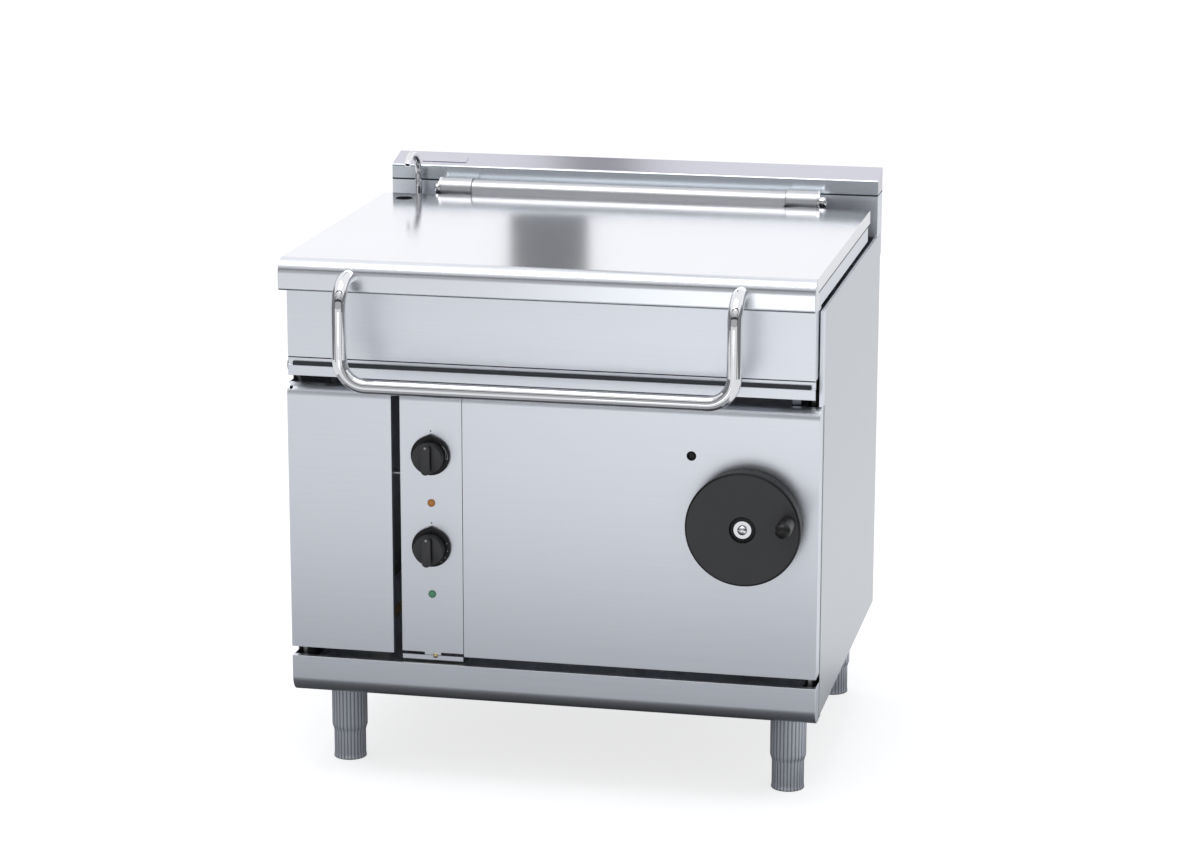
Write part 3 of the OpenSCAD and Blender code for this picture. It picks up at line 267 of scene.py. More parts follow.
brass = brushed("brass_screw", "bronze", (0.72, 0.60, 0.34), 0.18, (40.0, 40.0, 40.0), 0.05, 0.0)
sheath = brushed("oxidised_sheath", "element_sheath", (0.16, 0.14, 0.13), 0.50, (40.0, 40.0, 40.0))
print("lid fold ends at", round(LID_FOLD, 4), "cap face at", round(CAP_FACE, 4))

# %% [markdown]
# The legs are drawn tube, duller than sheet, and each flute is painted darker towards its hollow: painted
# shade.
# The finish works out the angle of a point round the axis of its leg, and a cosine of that angle
# times the number of flutes says how deep in a flute the point lies. All four legs share
# it: the left ones are mirrored by the absolute X, the rear ones moved by one step in Y.


# %% Fluted leg finish
def middle_of(node):
    low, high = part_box(node)
    return [(a + b) / 2 for a, b in zip(low, high)]


FLUTES = 28
LEG_X, LEG_FRONT = middle_of("foot_front_right")[:2]
LEG_BACK = middle_of("foot_rear_right")[1]


def fluted_finish(name, slot, crest, shaded_valley, rough):
    """Dull drawn tube with painted shade in its flutes, measured by the angle round each leg's axis."""
    f = Finish(name, slot)
    x, y = f.along("X"), f.along("Y")
    right = x.maths("ABSOLUTE", x) - LEG_X
    back = y - LEG_FRONT - (y > (LEG_FRONT + LEG_BACK) / 2) * (LEG_BACK - LEG_FRONT)
    around = right.maths("ARCTAN2", back, right) * float(FLUTES)
    depth = 0.5 - around.maths("COSINE", around) * 0.5
    # painted shade: each flute darker towards its hollow
    flute_shade = depth.maths("POWER", depth, 3.0)
    grime = f.noise(60.0, 3.0)
    f.set(Base_Color=f.mix(flute_shade, rgba(*crest), rgba(*shaded_valley)), Roughness=grime * 0.08 + (rough - 0.04))
    f.set(Metallic=0.5, Specular_IOR_Level=0.2)
    return f


# The second colour is the painted shade at the bottom of each flute.
leg_steel = fluted_finish("drawn_leg_tube", "fluted_steel", (0.80, 0.83, 0.90), (0.26, 0.27, 0.30), 0.34)
print("leg axes at x", round(LEG_X, 4), "y", round(LEG_FRONT, 4), round(LEG_BACK, 4))

# %% [markdown]
# The knobs and the handwheel are moulded phenolic: deep black, with a fine matte texture
# that comes from the mould. Their forward flat faces are painted paler: painted light, where the lamps fall
# on them and not on the black sides.
# Which part is a face follows from the depth of a point, read from Object coordinates.


# %% Moulded plastics and paint
# The grey of the forward faces is painted light, not the plastic's own colour.
PAINTED_FACE_LIGHT = (0.052, 0.052, 0.054)


def moulded(name, slot, tint, rough, faces=()):
    """Moulded plastic, painted paler at each given depth in Y where a forward face is: painted light."""
    f = Finish(name, slot)
    texture = f.noise(1400.0, 2.0)
    wear = f.noise(22.0, 3.0)
    colour = f.mix(wear, *shades(tint, 0.85, 1.2))
    # painted light on each forward face
    for depth in faces:
        colour = f.mix(f.along("Y").near(depth, 0.4 * MM), colour, rgba(*PAINTED_FACE_LIGHT))
    f.set(Base_Color=colour, Roughness=wear * 0.10 + (rough - 0.05), Normal=f.bump(texture, 0.5, 0.04 * MM))
    f.set(Specular_IOR_Level=0.3)
    return f


wheel_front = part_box("handwheel")[0][1]
knob_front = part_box("upper_knob")[0][1]
GRIP_FACE = 12 * MM
black = moulded("black_phenolic", "black_plastic", (0.006, 0.006, 0.007), 0.34)
wheel_black = moulded("wheel_phenolic", "black_plastic", (0.006, 0.006, 0.006), 0.40, (wheel_front,))
knob_black = moulded("knob_phenolic", "black_plastic", (0.006, 0.006, 0.007), 0.36,
                     (knob_front, knob_front + GRIP_FACE))
grip_black = moulded("grip_phenolic", "black_plastic", (0.012, 0.012, 0.012), 0.30)
pale = moulded("pale_insulator", "pale_plastic", (0.60, 0.58, 0.52), 0.45)
red_vinyl = moulded("red_vinyl", "red_plastic", (0.55, 0.03, 0.02), 0.35)
rubber = moulded("foot_rubber", "black_plastic", (0.012, 0.012, 0.014), 0.6)
# The groove's dark grey is painted shade for a recess.
groove = moulded("shaded_groove", "black_plastic", (0.045, 0.049, 0.055), 0.7)
mark_white = moulded("printed_mark", "black_plastic", (0.40, 0.40, 0.40), 0.5)
ink = moulded("printed_ink", "black_plastic", (0.05, 0.05, 0.055), 0.5)
print("painted lit faces at", round(wheel_front, 4), round(knob_front, 4))

# %% [markdown]
# A lamp lens is clear coloured plastic with a pattern of small cells pressed into it, and its
# flange looks darker because the lamp's body lies behind it. The distance from the lens's own
# middle tells the flange from the dome.


# %% Lamp lenses
FLANGE = 4.9 * MM


def lens(name, slot, node, tint, rim):
    """A lens with a darker ring where its flange is, and a pressed pattern."""
    f = Finish(name, slot)
    low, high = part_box(node)
    middle = [-(a + b) / 2 for a, b in zip(low, high)]
    seen_flat = f.add("ShaderNodeVectorMath", {0: f.place(shift=middle), 1: (1, 0, 1)}, operation="MULTIPLY")
    radius = f.add("ShaderNodeVectorMath", {0: seen_flat}, output="Value", operation="LENGTH")
    cells = f.add("ShaderNodeTexVoronoi", {"Vector": f.place(shift=middle), "Scale": 420.0})
    f.set(Base_Color=f.mix((radius > FLANGE) * 0.85 + cells * 0.12, rgba(*tint), rgba(*rim)))
    f.set(Roughness=0.18 + cells * 0.1, Normal=f.bump(cells, 0.3, 0.0002))
    f.set(Coat_Weight=0.3)
    return f


amber = lens("amber_lens", "amber_lens", "amber_lamp", (0.62, 0.24, 0.05), (0.38, 0.13, 0.02))
green = lens("green_lens", "green_lens", "green_lamp", (0.10, 0.33, 0.19), (0.04, 0.20, 0.10))
for name in ("amber_lamp", "green_lamp"):
    print(name, "at", [round(v, 3) for v in middle_of(name)])

# %% [markdown]
# Every node of the solid model gets its finish by name, and the rest is satin sheet.

# %% Finish of each node
FINISHES = {
    satin_side: ["side_panel_left", "side_panel_right"],
    lid_sheet: ["lid_skin"],
    cap_sheet: ["splashback_cap", "name_plate"],
    tube_steel: ["lid_handle", "spout", "hinge_shaft", "wheel_fasteners"],
    hinge_steel: ["hinge_tube", "hinge_blocks"],
    leg_steel: ["leg_sleeves", "foot_front_left", "foot_front_right", "foot_rear_left", "foot_rear_right"],
    zinc: ["base_frame", "pivot_plates", "cross_rail", "worm_brackets", "door_pins", "trunnion_left",
           "trunnion_right", "lid_springs", "pivot_bushes", "water_valve"],
    gear_steel: ["tilt_sector", "worm_shaft", "wheel_shaft"],
    bronze: ["water_inlet"],
    black: ["wheel_bush", "cable_gland", "reset_switch", "door_catch", "reset_button"],
    knob_black: ["upper_knob", "lower_knob"],
    wheel_black: ["handwheel"],
    grip_black: ["wheel_grip"],
    pale: ["thermostat", "selector_switch", "contactor", "terminal_block"],
    red_vinyl: ["valve_lever"],
    amber: ["amber_lamp"],
    green: ["green_lamp"],
    sheath: ["heating_elements"],
}
finish_of = {name: finish for finish, names in FINISHES.items() for name in names}
for name, obj in nodes.items():
    obj.data.materials.clear()
    obj.data.materials.append(finish_of.get(name, satin).material)
print("satin by default:", sorted(set(nodes) - set(finish_of)))

# %% [markdown]
# A press brake leaves a small radius on every fold, and that radius is what catches a line
# of light. The solid model has sharp folds, so a copy of each visible sheet is merged,
# its flat triangles are joined, and a narrow bevel is laid on its edges. Weighted normals
# then keep the wide faces flat and put all the turning into the bevel. The lid's front fold
# is wider than the solid's, so its points are first moved on to a larger arc.


# %% Soft folded edges
def keep(name, mesh, finish, body):
    """Puts a finished mesh into the scene as one piece that rides on a body."""
    obj = bpy.data.objects.new(name, mesh)
    scene.collection.objects.link(obj)
    mesh.materials.clear()
    mesh.materials.append(finish.material)
    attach(obj, body)
    return obj


def baked(obj):
    """The mesh of an object with its modifiers applied."""
    graph = bpy.context.evaluated_depsgraph_get()
    return bpy.data.meshes.new_from_object(obj.evaluated_get(graph))


def merged(node):
    """A copy of a node's mesh with its loose triangles joined into flat faces."""
    shape = bmesh.new()
    shape.from_mesh(nodes[node].data)
    bmesh.ops.remove_doubles(shape, verts=shape.verts, dist=2e-6)
    bmesh.ops.dissolve_limit(shape, angle_limit=math.radians(0.4), verts=shape.verts, edges=shape.edges)
    return shape


def bevelled(shape, name, width, segments=2, angle=28.0):
    for face in shape.faces:
        face.smooth = True
    mesh = bpy.data.meshes.new(name)
    shape.to_mesh(mesh)
    shape.free()
    draft = bpy.data.objects.new(name + "_draft", mesh)
    scene.collection.objects.link(draft)
    bevel = draft.modifiers.new("fold", "BEVEL")
    bevel.width = width
    bevel.segments = segments
    bevel.limit_method = "ANGLE"
    bevel.angle_limit = math.radians(angle)
    bevel.face_strength_mode = "FSTR_AFFECTED"
    even = draft.modifiers.new("even", "WEIGHTED_NORMAL")
    even.weight = 100
    even.keep_sharp = False
    even.use_face_influence = True
    result = baked(draft)
    bpy.data.objects.remove(draft)
    return result


# %% Widths of the folds
SMALL_FOLD, WIDE_FOLD, SHEET = 12 * MM, 24 * MM, 1.5 * MM
SOFT = {
    "lid_skin": 0.6, "splashback": 0.5, "splashback_cap": 0.5, "pan_front": 0.6, "pan_band": 0.4,
    "door_panel": 0.6, "control_panel": 0.6, "front_panel": 0.6, "base_rail": 1.4,
    "side_panel_left": 0.5, "side_panel_right": 0.5, "back_panel": 0.5, "name_plate": 0.5,
    "handwheel": 0.8, "hinge_blocks": 0.8, "pan_well": 1.0,
}


def widen_fold(shape, corner, small, large):
    """Moves the points of a small fold on to a larger one in the same corner."""
    front, top = corner
    old = Vector((front + small, top - small))
    new = Vector((front + large, top - large))
    for vert in shape.verts:
        arm = Vector((vert.co.y, vert.co.z)) - old
        inner = small - SHEET
        if arm.x < 1e-5 and arm.y > -1e-5 and inner - 0.4 * MM < arm.length < small + 0.1 * MM:
            arm.length += large - small
            vert.co.y, vert.co.z = new + arm


# %% Folded copies
for name, width in SOFT.items():
    copy = merged(name)
    if name == "lid_skin":
        low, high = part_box(name)
        widen_fold(copy, (low[1], high[2]), SMALL_FOLD, WIDE_FOLD)
    folded = bevelled(copy, name, width * MM)
    piece = keep(name + "_folded", folded, finish_of.get(name, satin), nodes[name]["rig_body"])
    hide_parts(name)
    print(name, len(piece.data.polygons), "faces")

# %% [markdown]
# Knobs, screws, lenses and washers are turned or moulded, so each is a stack of outlines:
# the same outline at several heights, a little smaller where an edge is rounded.
# One function lofts such a stack into a closed body, and another aims it.


# %% Stacked outlines
def circle(radius, steps=40):
    angles = [k * math.tau / steps for k in range(steps)]
    return [(radius * math.sin(angle), radius * math.cos(angle)) for angle in angles]


def stack(shape, rings):
    """Lofts rings of points, all of one length, into a closed body."""
    rows = [[shape.verts.new(point) for point in ring] for ring in rings]
    for low, high in zip(rows, rows[1:]):
        for k in range(len(low)):
            n = (k + 1) % len(low)
            shape.faces.new((low[k], low[n], high[n], high[k]))
    shape.faces.new(rows[0])
    shape.faces.new(rows[-1])
    bmesh.ops.recalc_face_normals(shape, faces=shape.faces)


def aimed(axis, centre):
    """Turns a flat point and a height into a place: heights run forward, up or to the right."""
    x, y, z = centre
    if axis == "front":
        return lambda p, h: Vector((x + p[0] * MM, y - h * MM, z + p[1] * MM))
    if axis == "back":
        return lambda p, h: Vector((x + p[0] * MM, y + h * MM, z + p[1] * MM))
    if axis == "up":
        return lambda p, h: Vector((x + p[0] * MM, y + p[1] * MM, z + h * MM))
    return lambda p, h: Vector((x + h * MM, y + p[0] * MM, z + p[1] * MM))


def smooth_mesh(shape, name, angle=35.0):
    mesh = bpy.data.meshes.new(name)
    for face in shape.faces:
        face.smooth = True
    shape.to_mesh(mesh)
    shape.free()
    mesh.set_sharp_from_angle(angle=math.radians(angle))
    return mesh


def turned(name, finish, body, axis, centres, profile, steps=40):
    """Closed turned pieces of one profile of (radius, height) at several centres."""
    shape = bmesh.new()
    for centre in centres:
        put = aimed(axis, centre)
        stack(shape, [[put(p, h) for p in circle(radius, steps)] for radius, h in profile])
    return keep(name, smooth_mesh(shape, name), finish, body)

# %% [markdown]
# A knob has a round skirt whose top is drawn out into a pointer, a grip and a raised bar.
# The pointer's flanks are tangents to the circle, which fixes the outline: at an angle
# from the top its radius is r / cos(a - angle), where cos(a) is r over the tip's distance.


# %% Outlines of a knob
BLUNT, BAR_HALF, BAR_WIDTH = 0.5, 25.4, 8.0


def pointer(radius, rise=3.2, steps=72):
    reach = math.acos(radius / (radius + rise))
    points = []
    for k in range(steps):
        angle = k * math.tau / steps
        off = min(angle, math.tau - angle)
        far = radius / math.cos(reach - off) if off < reach else radius
        far = min(far, radius + rise - BLUNT)
        points.append((far * math.sin(angle), far * math.cos(angle)))
    return points


def bar(inset, steps=48):
    """A long slot outline with round ends, drawn in by an inset."""
    half, width = BAR_HALF - inset, BAR_WIDTH - inset
    points = []
    for k in range(steps):
        angle = (k + 0.5) * math.tau / steps
        end = (half - width) if math.cos(angle) > 0 else (width - half)
        points.append((width * math.sin(angle), end + width * math.cos(angle)))
    return points


# %% Knobs
AXLE_UP, SKIRT_BACK, KNOB_DEPTH = 33 * MM, 1 * MM, 38 * MM
SKIRT = ((32.2, 0), (33, 0.8), (33, 4.6), (32.4, 5.7), (31, 6), (26, 6.2))
GRIP = ((26.4, 5.5), (25.2, 24.6), (24.8, 25.6), (24, 26))
RAISED_BAR = ((0, 6), (0, 36.8), (0.4, 37.6), (1.2, 38))
panel_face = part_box("control_panel")[0][1]


def knob_centre(name):
    """Where a knob's axle meets the back of its skirt."""
    return (middle_of(name)[0], panel_face - SKIRT_BACK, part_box(name)[0][2] + AXLE_UP)


for name in ("upper_knob", "lower_knob"):
    x, y, z = knob_centre(name)
    put = aimed("front", (x, y, z))
    shape = bmesh.new()
    stack(shape, [[put(p, h) for p in pointer(r)] for r, h in SKIRT])
    stack(shape, [[put(p, h) for p in circle(r, 72)] for r, h in GRIP])
    stack(shape, [[put(p, h) for p in bar(inset)] for inset, h in RAISED_BAR])
    stack(shape, [[put(p, h) for p in circle(3, 24)] for h in (-15, 0.5)])
    piece = keep(name + "_moulded", smooth_mesh(shape, name), knob_black, name)
    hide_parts(name)
    dot = (x, y - KNOB_DEPTH, z + 20.5 * MM)
    turned(name + "_dot", mark_white, name, "front", [dot], ((1.9, -0.2), (1.9, 0.05), (1.6, 0.12)))
    index = (x, panel_face, z + 41.0 * MM)
    turned(name + "_index", ink, "cabinet", "front", [index], ((1.3, -0.2), (1.3, 0.1), (1.1, 0.15)))
    print(name, "centre", round(x, 4), round(y, 4), round(z, 4))

# %% [markdown]
# The thermostat's skirt carries a printed wedge that widens with the heat, and the
# selector's skirt four dots. Both are drawn as thin raised ink on the skirt.


# %% Printed marks on the skirts
def ribbon(put, inner, outer, start, stop, height, steps=24):
    """An arc on the skirt whose edges may run at different radii from start to stop."""
    rows = []
    for k in range(steps + 1):
        t = k / steps
        angle = math.radians(start + (stop - start) * t)
        radii = [edge[0] + (edge[1] - edge[0]) * t for edge in (inner, outer)]
        rows.append([(r * math.sin(angle), r * math.cos(angle)) for r in radii])
    loop = [row[0] for row in rows] + [row[1] for row in reversed(rows)]
    return [[put(p, h) for p in loop] for h in (height - 0.2, height + 0.06)]


SKIRT_TOP, DOT_RING = 6.15, 29 * MM
up = aimed("front", knob_centre("upper_knob"))
wedge = bmesh.new()
stack(wedge, ribbon(up, (27.6, 27.2), (28.0, 27.7), 50, 98, SKIRT_TOP))
stack(wedge, ribbon(up, (28.0, 30.4), (28.4, 30.9), 50, 96, SKIRT_TOP))
stack(wedge, ribbon(up, (27.2, 27.2), (30.9, 30.9), 96, 98, SKIRT_TOP, 4))
keep("heat_wedge", smooth_mesh(wedge, "heat_wedge"), mark_white, "upper_knob")
x, y, z = knob_centre("lower_knob")
dots = [(x + DOT_RING * math.sin(math.radians(angle)), y - SKIRT_TOP * MM,
         z + DOT_RING * math.cos(math.radians(angle))) for angle in (72, 98, 122, 142)]
turned("heat_dots", mark_white, "lower_knob", "front", dots, ((0.9, -0.2), (0.9, 0.05), (0.7, 0.1)))
print(len(dots), "dots on the lower skirt")

# %% [markdown]
# The legs are drawn tube with fine flutes, which is a rule rather than a shape: a radius that
# swells and sinks as a cosine of the angle. Geometry Nodes wrap a flat grid into that tube,
# bend its lower end in or out, and close both ends by drawing the first and last row to a point.


# %% Trees with named sizes
def sized_tree(name, lengths, counts=()):
    """An empty tree with inputs for its sizes, as a network and the wires of its inputs."""
    tree = bpy.data.node_groups.new(name, "GeometryNodeTree")
    face = tree.interface
    face.new_socket("Geometry", in_out="INPUT", socket_type="NodeSocketGeometry")
    for kind, sizes in (("NodeSocketFloat", lengths), ("NodeSocketInt", counts)):
        for title, start in sizes:
            face.new_socket(title, in_out="INPUT", socket_type=kind).default_value = start
    face.new_socket("Finish", in_out="INPUT", socket_type="NodeSocketMaterial")
    face.new_socket("Geometry", in_out="OUTPUT", socket_type="NodeSocketGeometry")
    entry = tree.nodes.new("NodeGroupInput")
    return Network(tree), {socket.name: Wire(tree, socket) for socket in entry.outputs if socket.name}


def scattered(g, size, piece):
    """Ends a tree with one real copy of a piece at every point, in its finish."""
    copies = g.add("GeometryNodeInstanceOnPoints", {"Points": size["Geometry"], "Instance": piece})
    real = g.add("GeometryNodeRealizeInstances", {"Geometry": copies})
    done = g.add("GeometryNodeSetMaterial", {"Geometry": real, "Material": size["Finish"]})
    leave = g.tree.nodes.new("NodeGroupOutput")
    g.tree.links.new(done.socket, leave.inputs[0])
    return g.tree


# %% Fluted tube tree
def fluted_tree():
    g, size = sized_tree("fluted_tube", [("Radius", 0.03), ("Flute Depth", 0.0008), ("Height", 0.1),
                                         ("End Change", -0.002), ("End Height", 0.006)], [("Flutes", 32)])
    steps_per_flute, rows = 8, 26
    columns = size["Flutes"] * float(steps_per_flute) + 1.0
    grid = g.add("GeometryNodeMeshGrid", {"Size X": 1.0, "Size Y": 1.0,
                                          "Vertices X": columns, "Vertices Y": rows})
    here = g.add("GeometryNodeInputPosition")
    flat_x = g.add("ShaderNodeSeparateXYZ", {0: here}, output=0)
    flat_y = g.add("ShaderNodeSeparateXYZ", {0: here}, output=1)
    angle = (flat_x + 0.5) * math.tau
    row = (flat_y + 0.5) * float(rows - 1)
    share = g.add("ShaderNodeClamp", {"Value": (row - 1.0) / float(rows - 3)})
    height = share.maths("POWER", share, 2.2) * size["Height"]
    ends_in = g.add("ShaderNodeMapRange", {"Value": height, 1: 0.0, 2: size["End Height"], 3: 1.0, 4: 0.0},
                    interpolation_type="SMOOTHSTEP")
    flute = angle.maths("COSINE", angle * size["Flutes"]) * 0.5 - 0.5
    radius = size["Radius"] + ends_in * size["End Change"] + flute * size["Flute Depth"] * (1.0 - ends_in)
    radius = radius * (row > 0.5) * (row < rows - 1.5)
    place = g.add("ShaderNodeCombineXYZ", {0: angle.maths("COSINE", angle) * radius,
                                           1: angle.maths("SINE", angle) * radius, 2: height})
    tube = g.add("GeometryNodeSetPosition", {"Geometry": grid, "Position": place})
    tube = g.add("GeometryNodeMergeByDistance", {"Geometry": tube, "Distance": 1e-6})
    return scattered(g, size, g.add("GeometryNodeSetShadeSmooth", {"Geometry": tube}))


def grown(tree, name, points, finish, body, **sizes):
    """Runs a tree on a cloud of points and keeps the result as a plain mesh."""
    cloud = bpy.data.meshes.new(name + "_points")
    cloud.from_pydata(points, [], [])
    draft = bpy.data.objects.new(name + "_draft", cloud)
    scene.collection.objects.link(draft)
    modifier = draft.modifiers.new(name, "NODES")
    modifier.node_group = tree
    sizes["Finish"] = finish.material
    for item in tree.interface.items_tree:
        title = item.name.replace(" ", "_")
        if item.in_out == "INPUT" and title in sizes:
            modifier[item.identifier] = sizes[title]
    mesh = baked(draft)
    bpy.data.objects.remove(draft)
    shape = bmesh.new()
    shape.from_mesh(mesh)
    bmesh.ops.recalc_face_normals(shape, faces=shape.faces)
    shape.to_mesh(mesh)
    shape.free()
    mesh.set_sharp_from_angle(angle=math.radians(50))
    print(name, len(mesh.polygons), "faces")
    return keep(name, mesh, finish, body)

# %% [markdown]
# Each leg is a sleeve fixed to the frame and a cup that screws up into it, a little narrower,
# so the joint shows as a step. The cup stands on a thin rubber rim.

# %% Legs and feet
SLEEVE = {"Radius": 30.6 * MM, "End_Change": -2.4 * MM, "End_Height": 9 * MM, "Flute_Depth": 0.8 * MM}
CUP = {"Radius": 27.4 * MM, "End_Change": 0.6 * MM, "End_Height": 7 * MM, "Flute_Depth": 0.7 * MM}
CUP_HEIGHT, PAD_TOP = 102 * MM, 1.6 * MM
PAD = ((26.6, 0), (27.8, 0.4), (28.2, 1.4), (27.6, 2.6))
fluted = fluted_tree()
FEET = ["foot_front_left", "foot_front_right", "foot_rear_left", "foot_rear_right"]
leg_axes = [middle_of(name)[:2] for name in FEET]
sleeve_low, sleeve_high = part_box("leg_sleeves")
sleeves = grown(fluted, "leg_tubes", [(x, y, sleeve_low[2]) for x, y in leg_axes], leg_steel, "cabinet",
                Height=sleeve_high[2] - sleeve_low[2], Flutes=FLUTES, **SLEEVE)
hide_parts("leg_sleeves")
for name, (x, y) in zip(FEET, leg_axes):
    foot = grown(fluted, name + "_cup", [(x, y, PAD_TOP)], leg_steel, name,
                 Height=CUP_HEIGHT, Flutes=FLUTES, **CUP)
    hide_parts(name)
    turned(name + "_pad", rubber, name, "up", [(x, y, 0)], PAD, 64)

# %% [markdown]
# Pan-head screws hold the back panel. They all look alike and follow
# the edges in even steps, so one tree scatters a head over a cloud of points.


# %% Screw tree
def screw_tree():
    g, size = sized_tree("pan_head_screws", [("Head Radius", 0.004), ("Head Height", 0.002),
                                             ("Socket Radius", 0.0014)])
    ball = g.add("GeometryNodeMeshUVSphere", {"Segments": 24, "Rings": 16, "Radius": 1.0})
    here = g.add("GeometryNodeInputPosition")
    x, y, z = (g.add("ShaderNodeSeparateXYZ", {0: here}, output=k) for k in range(3))
    out = x.maths("SQRT", x * x + y * y)
    pit = g.add("ShaderNodeMapRange", {"Value": out * size["Head Radius"], 1: size["Socket Radius"] * 0.8,
                                       2: size["Socket Radius"] * 1.25, 3: 0.65, 4: 0.0})
    dished = z - pit * (z > 0.0)
    place = g.add("ShaderNodeCombineXYZ", {0: x * size["Head Radius"], 1: dished * size["Head Height"],
                                           2: y * size["Head Radius"]})
    head = g.add("GeometryNodeSetPosition", {"Geometry": ball, "Position": place})
    return scattered(g, size, g.add("GeometryNodeSetShadeSmooth", {"Geometry": head}))


def row_of(count, start, stop):
    return [start + (stop - start) * k / (count - 1) for k in range(count)]


# %% Screws of the back panel
EDGE = 20 * MM
screws = screw_tree()
low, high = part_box("back_panel")
back = high[1]
left, right = low[0] + EDGE, high[0] - EDGE
places = [(x, back, low[2] + EDGE) for x in row_of(6, left, right)]
places += [(x, back, z) for x in (left, right) for z in row_of(4, low[2] + 10 * EDGE, high[2] - 4 * EDGE)]
grown(screws, "back_screws", places, zinc, "cabinet",
      Head_Radius=4.2 * MM, Head_Height=2.2 * MM, Socket_Radius=1.6 * MM)

# %% [markdown]
# A brass screw holds the control panel's tab, and it stands half out of the gap below.
# It is a plain turned dome, so a stack of circles is enough.

# %% Brass screw and wheel hub
DOME = ((4.4, -0.3), (4.4, 0.6), (3.9, 1.5), (2.9, 2.2), (1.5, 2.6), (0.3, 2.7))
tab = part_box("control_panel")[0]
screw_place = (middle_of("control_panel")[0] + 4.5 * MM, tab[1], tab[2] + 3.5 * MM)
turned("tab_screw", brass, "cabinet", "front", [screw_place], DOME, 32)
hub_x, _, hub_z = middle_of("handwheel")
turned("wheel_seat_ring", black, "handwheel", "front", [(hub_x, wheel_front + 3.9 * MM, hub_z)],
       ((20.0, -0.2), (20.0, 0.1), (19.6, 0.2)), 64)
print("wheel hub at", round(hub_x, 4), round(hub_z, 4))

# %% [markdown]
# At the hinge a black washer sits in each joint between the tube and its block, and the
# shaft ends in a polished dome. The gland has a hexagon, and the water
# connection a thread, all of them outlines stacked along an axis.

# %% Hinge, gland and thread
COLLAR = ((20.3, 0.0), (20.9, 0.5), (20.9, 4.5), (20.3, 5.0))
SHAFT_DOME = ((10.0, 0.3), (9.6, -1.6), (8.0, -3.4), (5.0, -4.8), (1.0, -5.3))
axis_y, axis_z = middle_of("hinge_shaft")[1:]


def on_hinge(*places):
    """Points on the hinge's axis at several distances to the right."""
    return [(x, axis_y, axis_z) for x in places]


tube_left, tube_right = (corner[0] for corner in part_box("hinge_tube"))
block_left, block_right = (corner[0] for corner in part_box("hinge_blocks"))
shaft_left, shaft_right = (corner[0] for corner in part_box("hinge_shaft"))
washers = on_hinge(tube_left - 0.6 * MM, tube_right)
collars = on_hinge(block_left - 0.1 * MM, block_right - 4.9 * MM)
turned("hinge_washers", rubber, "pan", "right", washers, ((19.0, 0.02), (19.0, 0.58)), 56)
turned("hinge_collars", tube_steel, "pan", "right", collars, COLLAR, 56)
turned("shaft_end_left", tube_steel, "pan", "right", on_hinge(shaft_left), SHAFT_DOME, 32)
mirrored_dome = [(radius, -h) for radius, h in SHAFT_DOME]
turned("shaft_end_right", tube_steel, "pan", "right", on_hinge(shaft_right), mirrored_dome, 32)
gland_x, _, gland_z = middle_of("cable_gland")
turned("gland_hexagon", black, "cabinet", "back", [(gland_x, back, gland_z)],
       ((17.6, 0.0), (18.2, 0.6), (18.2, 6.4), (17.6, 7.0)), 6)
inlet_x, _, inlet_z = middle_of("water_inlet")
ridges = [(r, h + 0.9 * k) for k in range(15) for r, h in ((10.3, 4.2), (10.9, 4.65))]
turned("inlet_thread", bronze, "cabinet", "back", [(inlet_x, back, inlet_z)], ridges)
print("hinge axis", round(axis_y, 4), round(axis_z, 4))

# %% [markdown]
# Two sheets that meet leave a hairline of shadow, and here several are sealed with black
# silicone. Each is a thin bar just proud of the sheets, and so is the short folded return
# of the right side panel above the front panel.

# %% Seams and strips
def bar_piece(name, finish, body, *boxes):
    """Straight strips, each given as left, right, front, back, bottom and top in millimetres."""
    shape = bmesh.new()
    for x0, x1, y0, y1, z0, z1 in boxes:
        corners = [(x0, y0), (x1, y0), (x1, y1), (x0, y1)]
        stack(shape, [[Vector((x * MM, y * MM, z * MM)) for x, y in corners] for z in (z0, z1)])
    return keep(name, smooth_mesh(shape, name, 20.0), finish, body)


bar_piece("cap_seam", rubber, "cabinet", (-445.6, 445.6, 366.5, 368, 917.8, 920.4),
          (-446.4, -444, 367, 426.4, 918.6, 919.8), (444, 446.4, 367, 426.4, 918.6, 919.8))
bar_piece("pan_seam", rubber, "pan", (-438.6, 438.6, -320.2, -319, 734.0, 735.8))
# The band groove is painted shade: a dark bar where the recess between the pan's front and its band lies in
# shadow.
bar_piece("band_groove", groove, "pan", (-431, 432, -320.3, -318, 721.2, 727.6))
side_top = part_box("side_panel_right")[1][2] / MM
fold_low = side_top - 22
bar_piece("side_return_upper", satin, "cabinet", (441.2, 446.8, -291.6, -268.0, 687.0, fold_low),
          (441.2, 446.8, -291.6, -268.0, fold_low, side_top))
print("side panel's top", round(side_top, 1), "mm")

# %% [markdown]
# The control panel ends in a narrow flange that its tab screw goes through. Below it a shelf
# closes the gap above the rail, and a thin gasket lies between the lid's sides and the pan.

# %% Flange, shelf, gasket and lid lip
low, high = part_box("control_panel")
left, right, face, foot = low[0] / MM + 0.5, high[0] / MM - 0.5, low[1] / MM, low[2] / MM
bar_piece("panel_flange", satin, "cabinet", (left, right, face + 0.4, face + 1.6, foot - 4.2, foot + 4.0))
bar_piece("panel_shelf", zinc, "cabinet", (left, right, face + 1, face + 50, foot - 11.9, foot - 10.9))
bar_piece("panel_seam", rubber, "cabinet", (left, right, face - 0.15, face + 0.5, foot + 3.7, foot + 4.4))
bar_piece("lid_gasket", rubber, "lid", (438.6, 442.25, -322, 296, 880.2, 881.8),
          (-442.25, -438.6, -322, 296, 880.2, 881.8))
bar_piece("lid_lip", lid_sheet, "lid", (-286, 286, 296, 322.4, 903.2, 904.8))
print("flange from", round(left, 1), "to", round(right, 1), "mm")

# %% [markdown]
# The grommet is a ring, so its stack of circles closes on itself: up the outside, over a
# rounded top and down the inside. The hole's place is read from the liner's top edge.

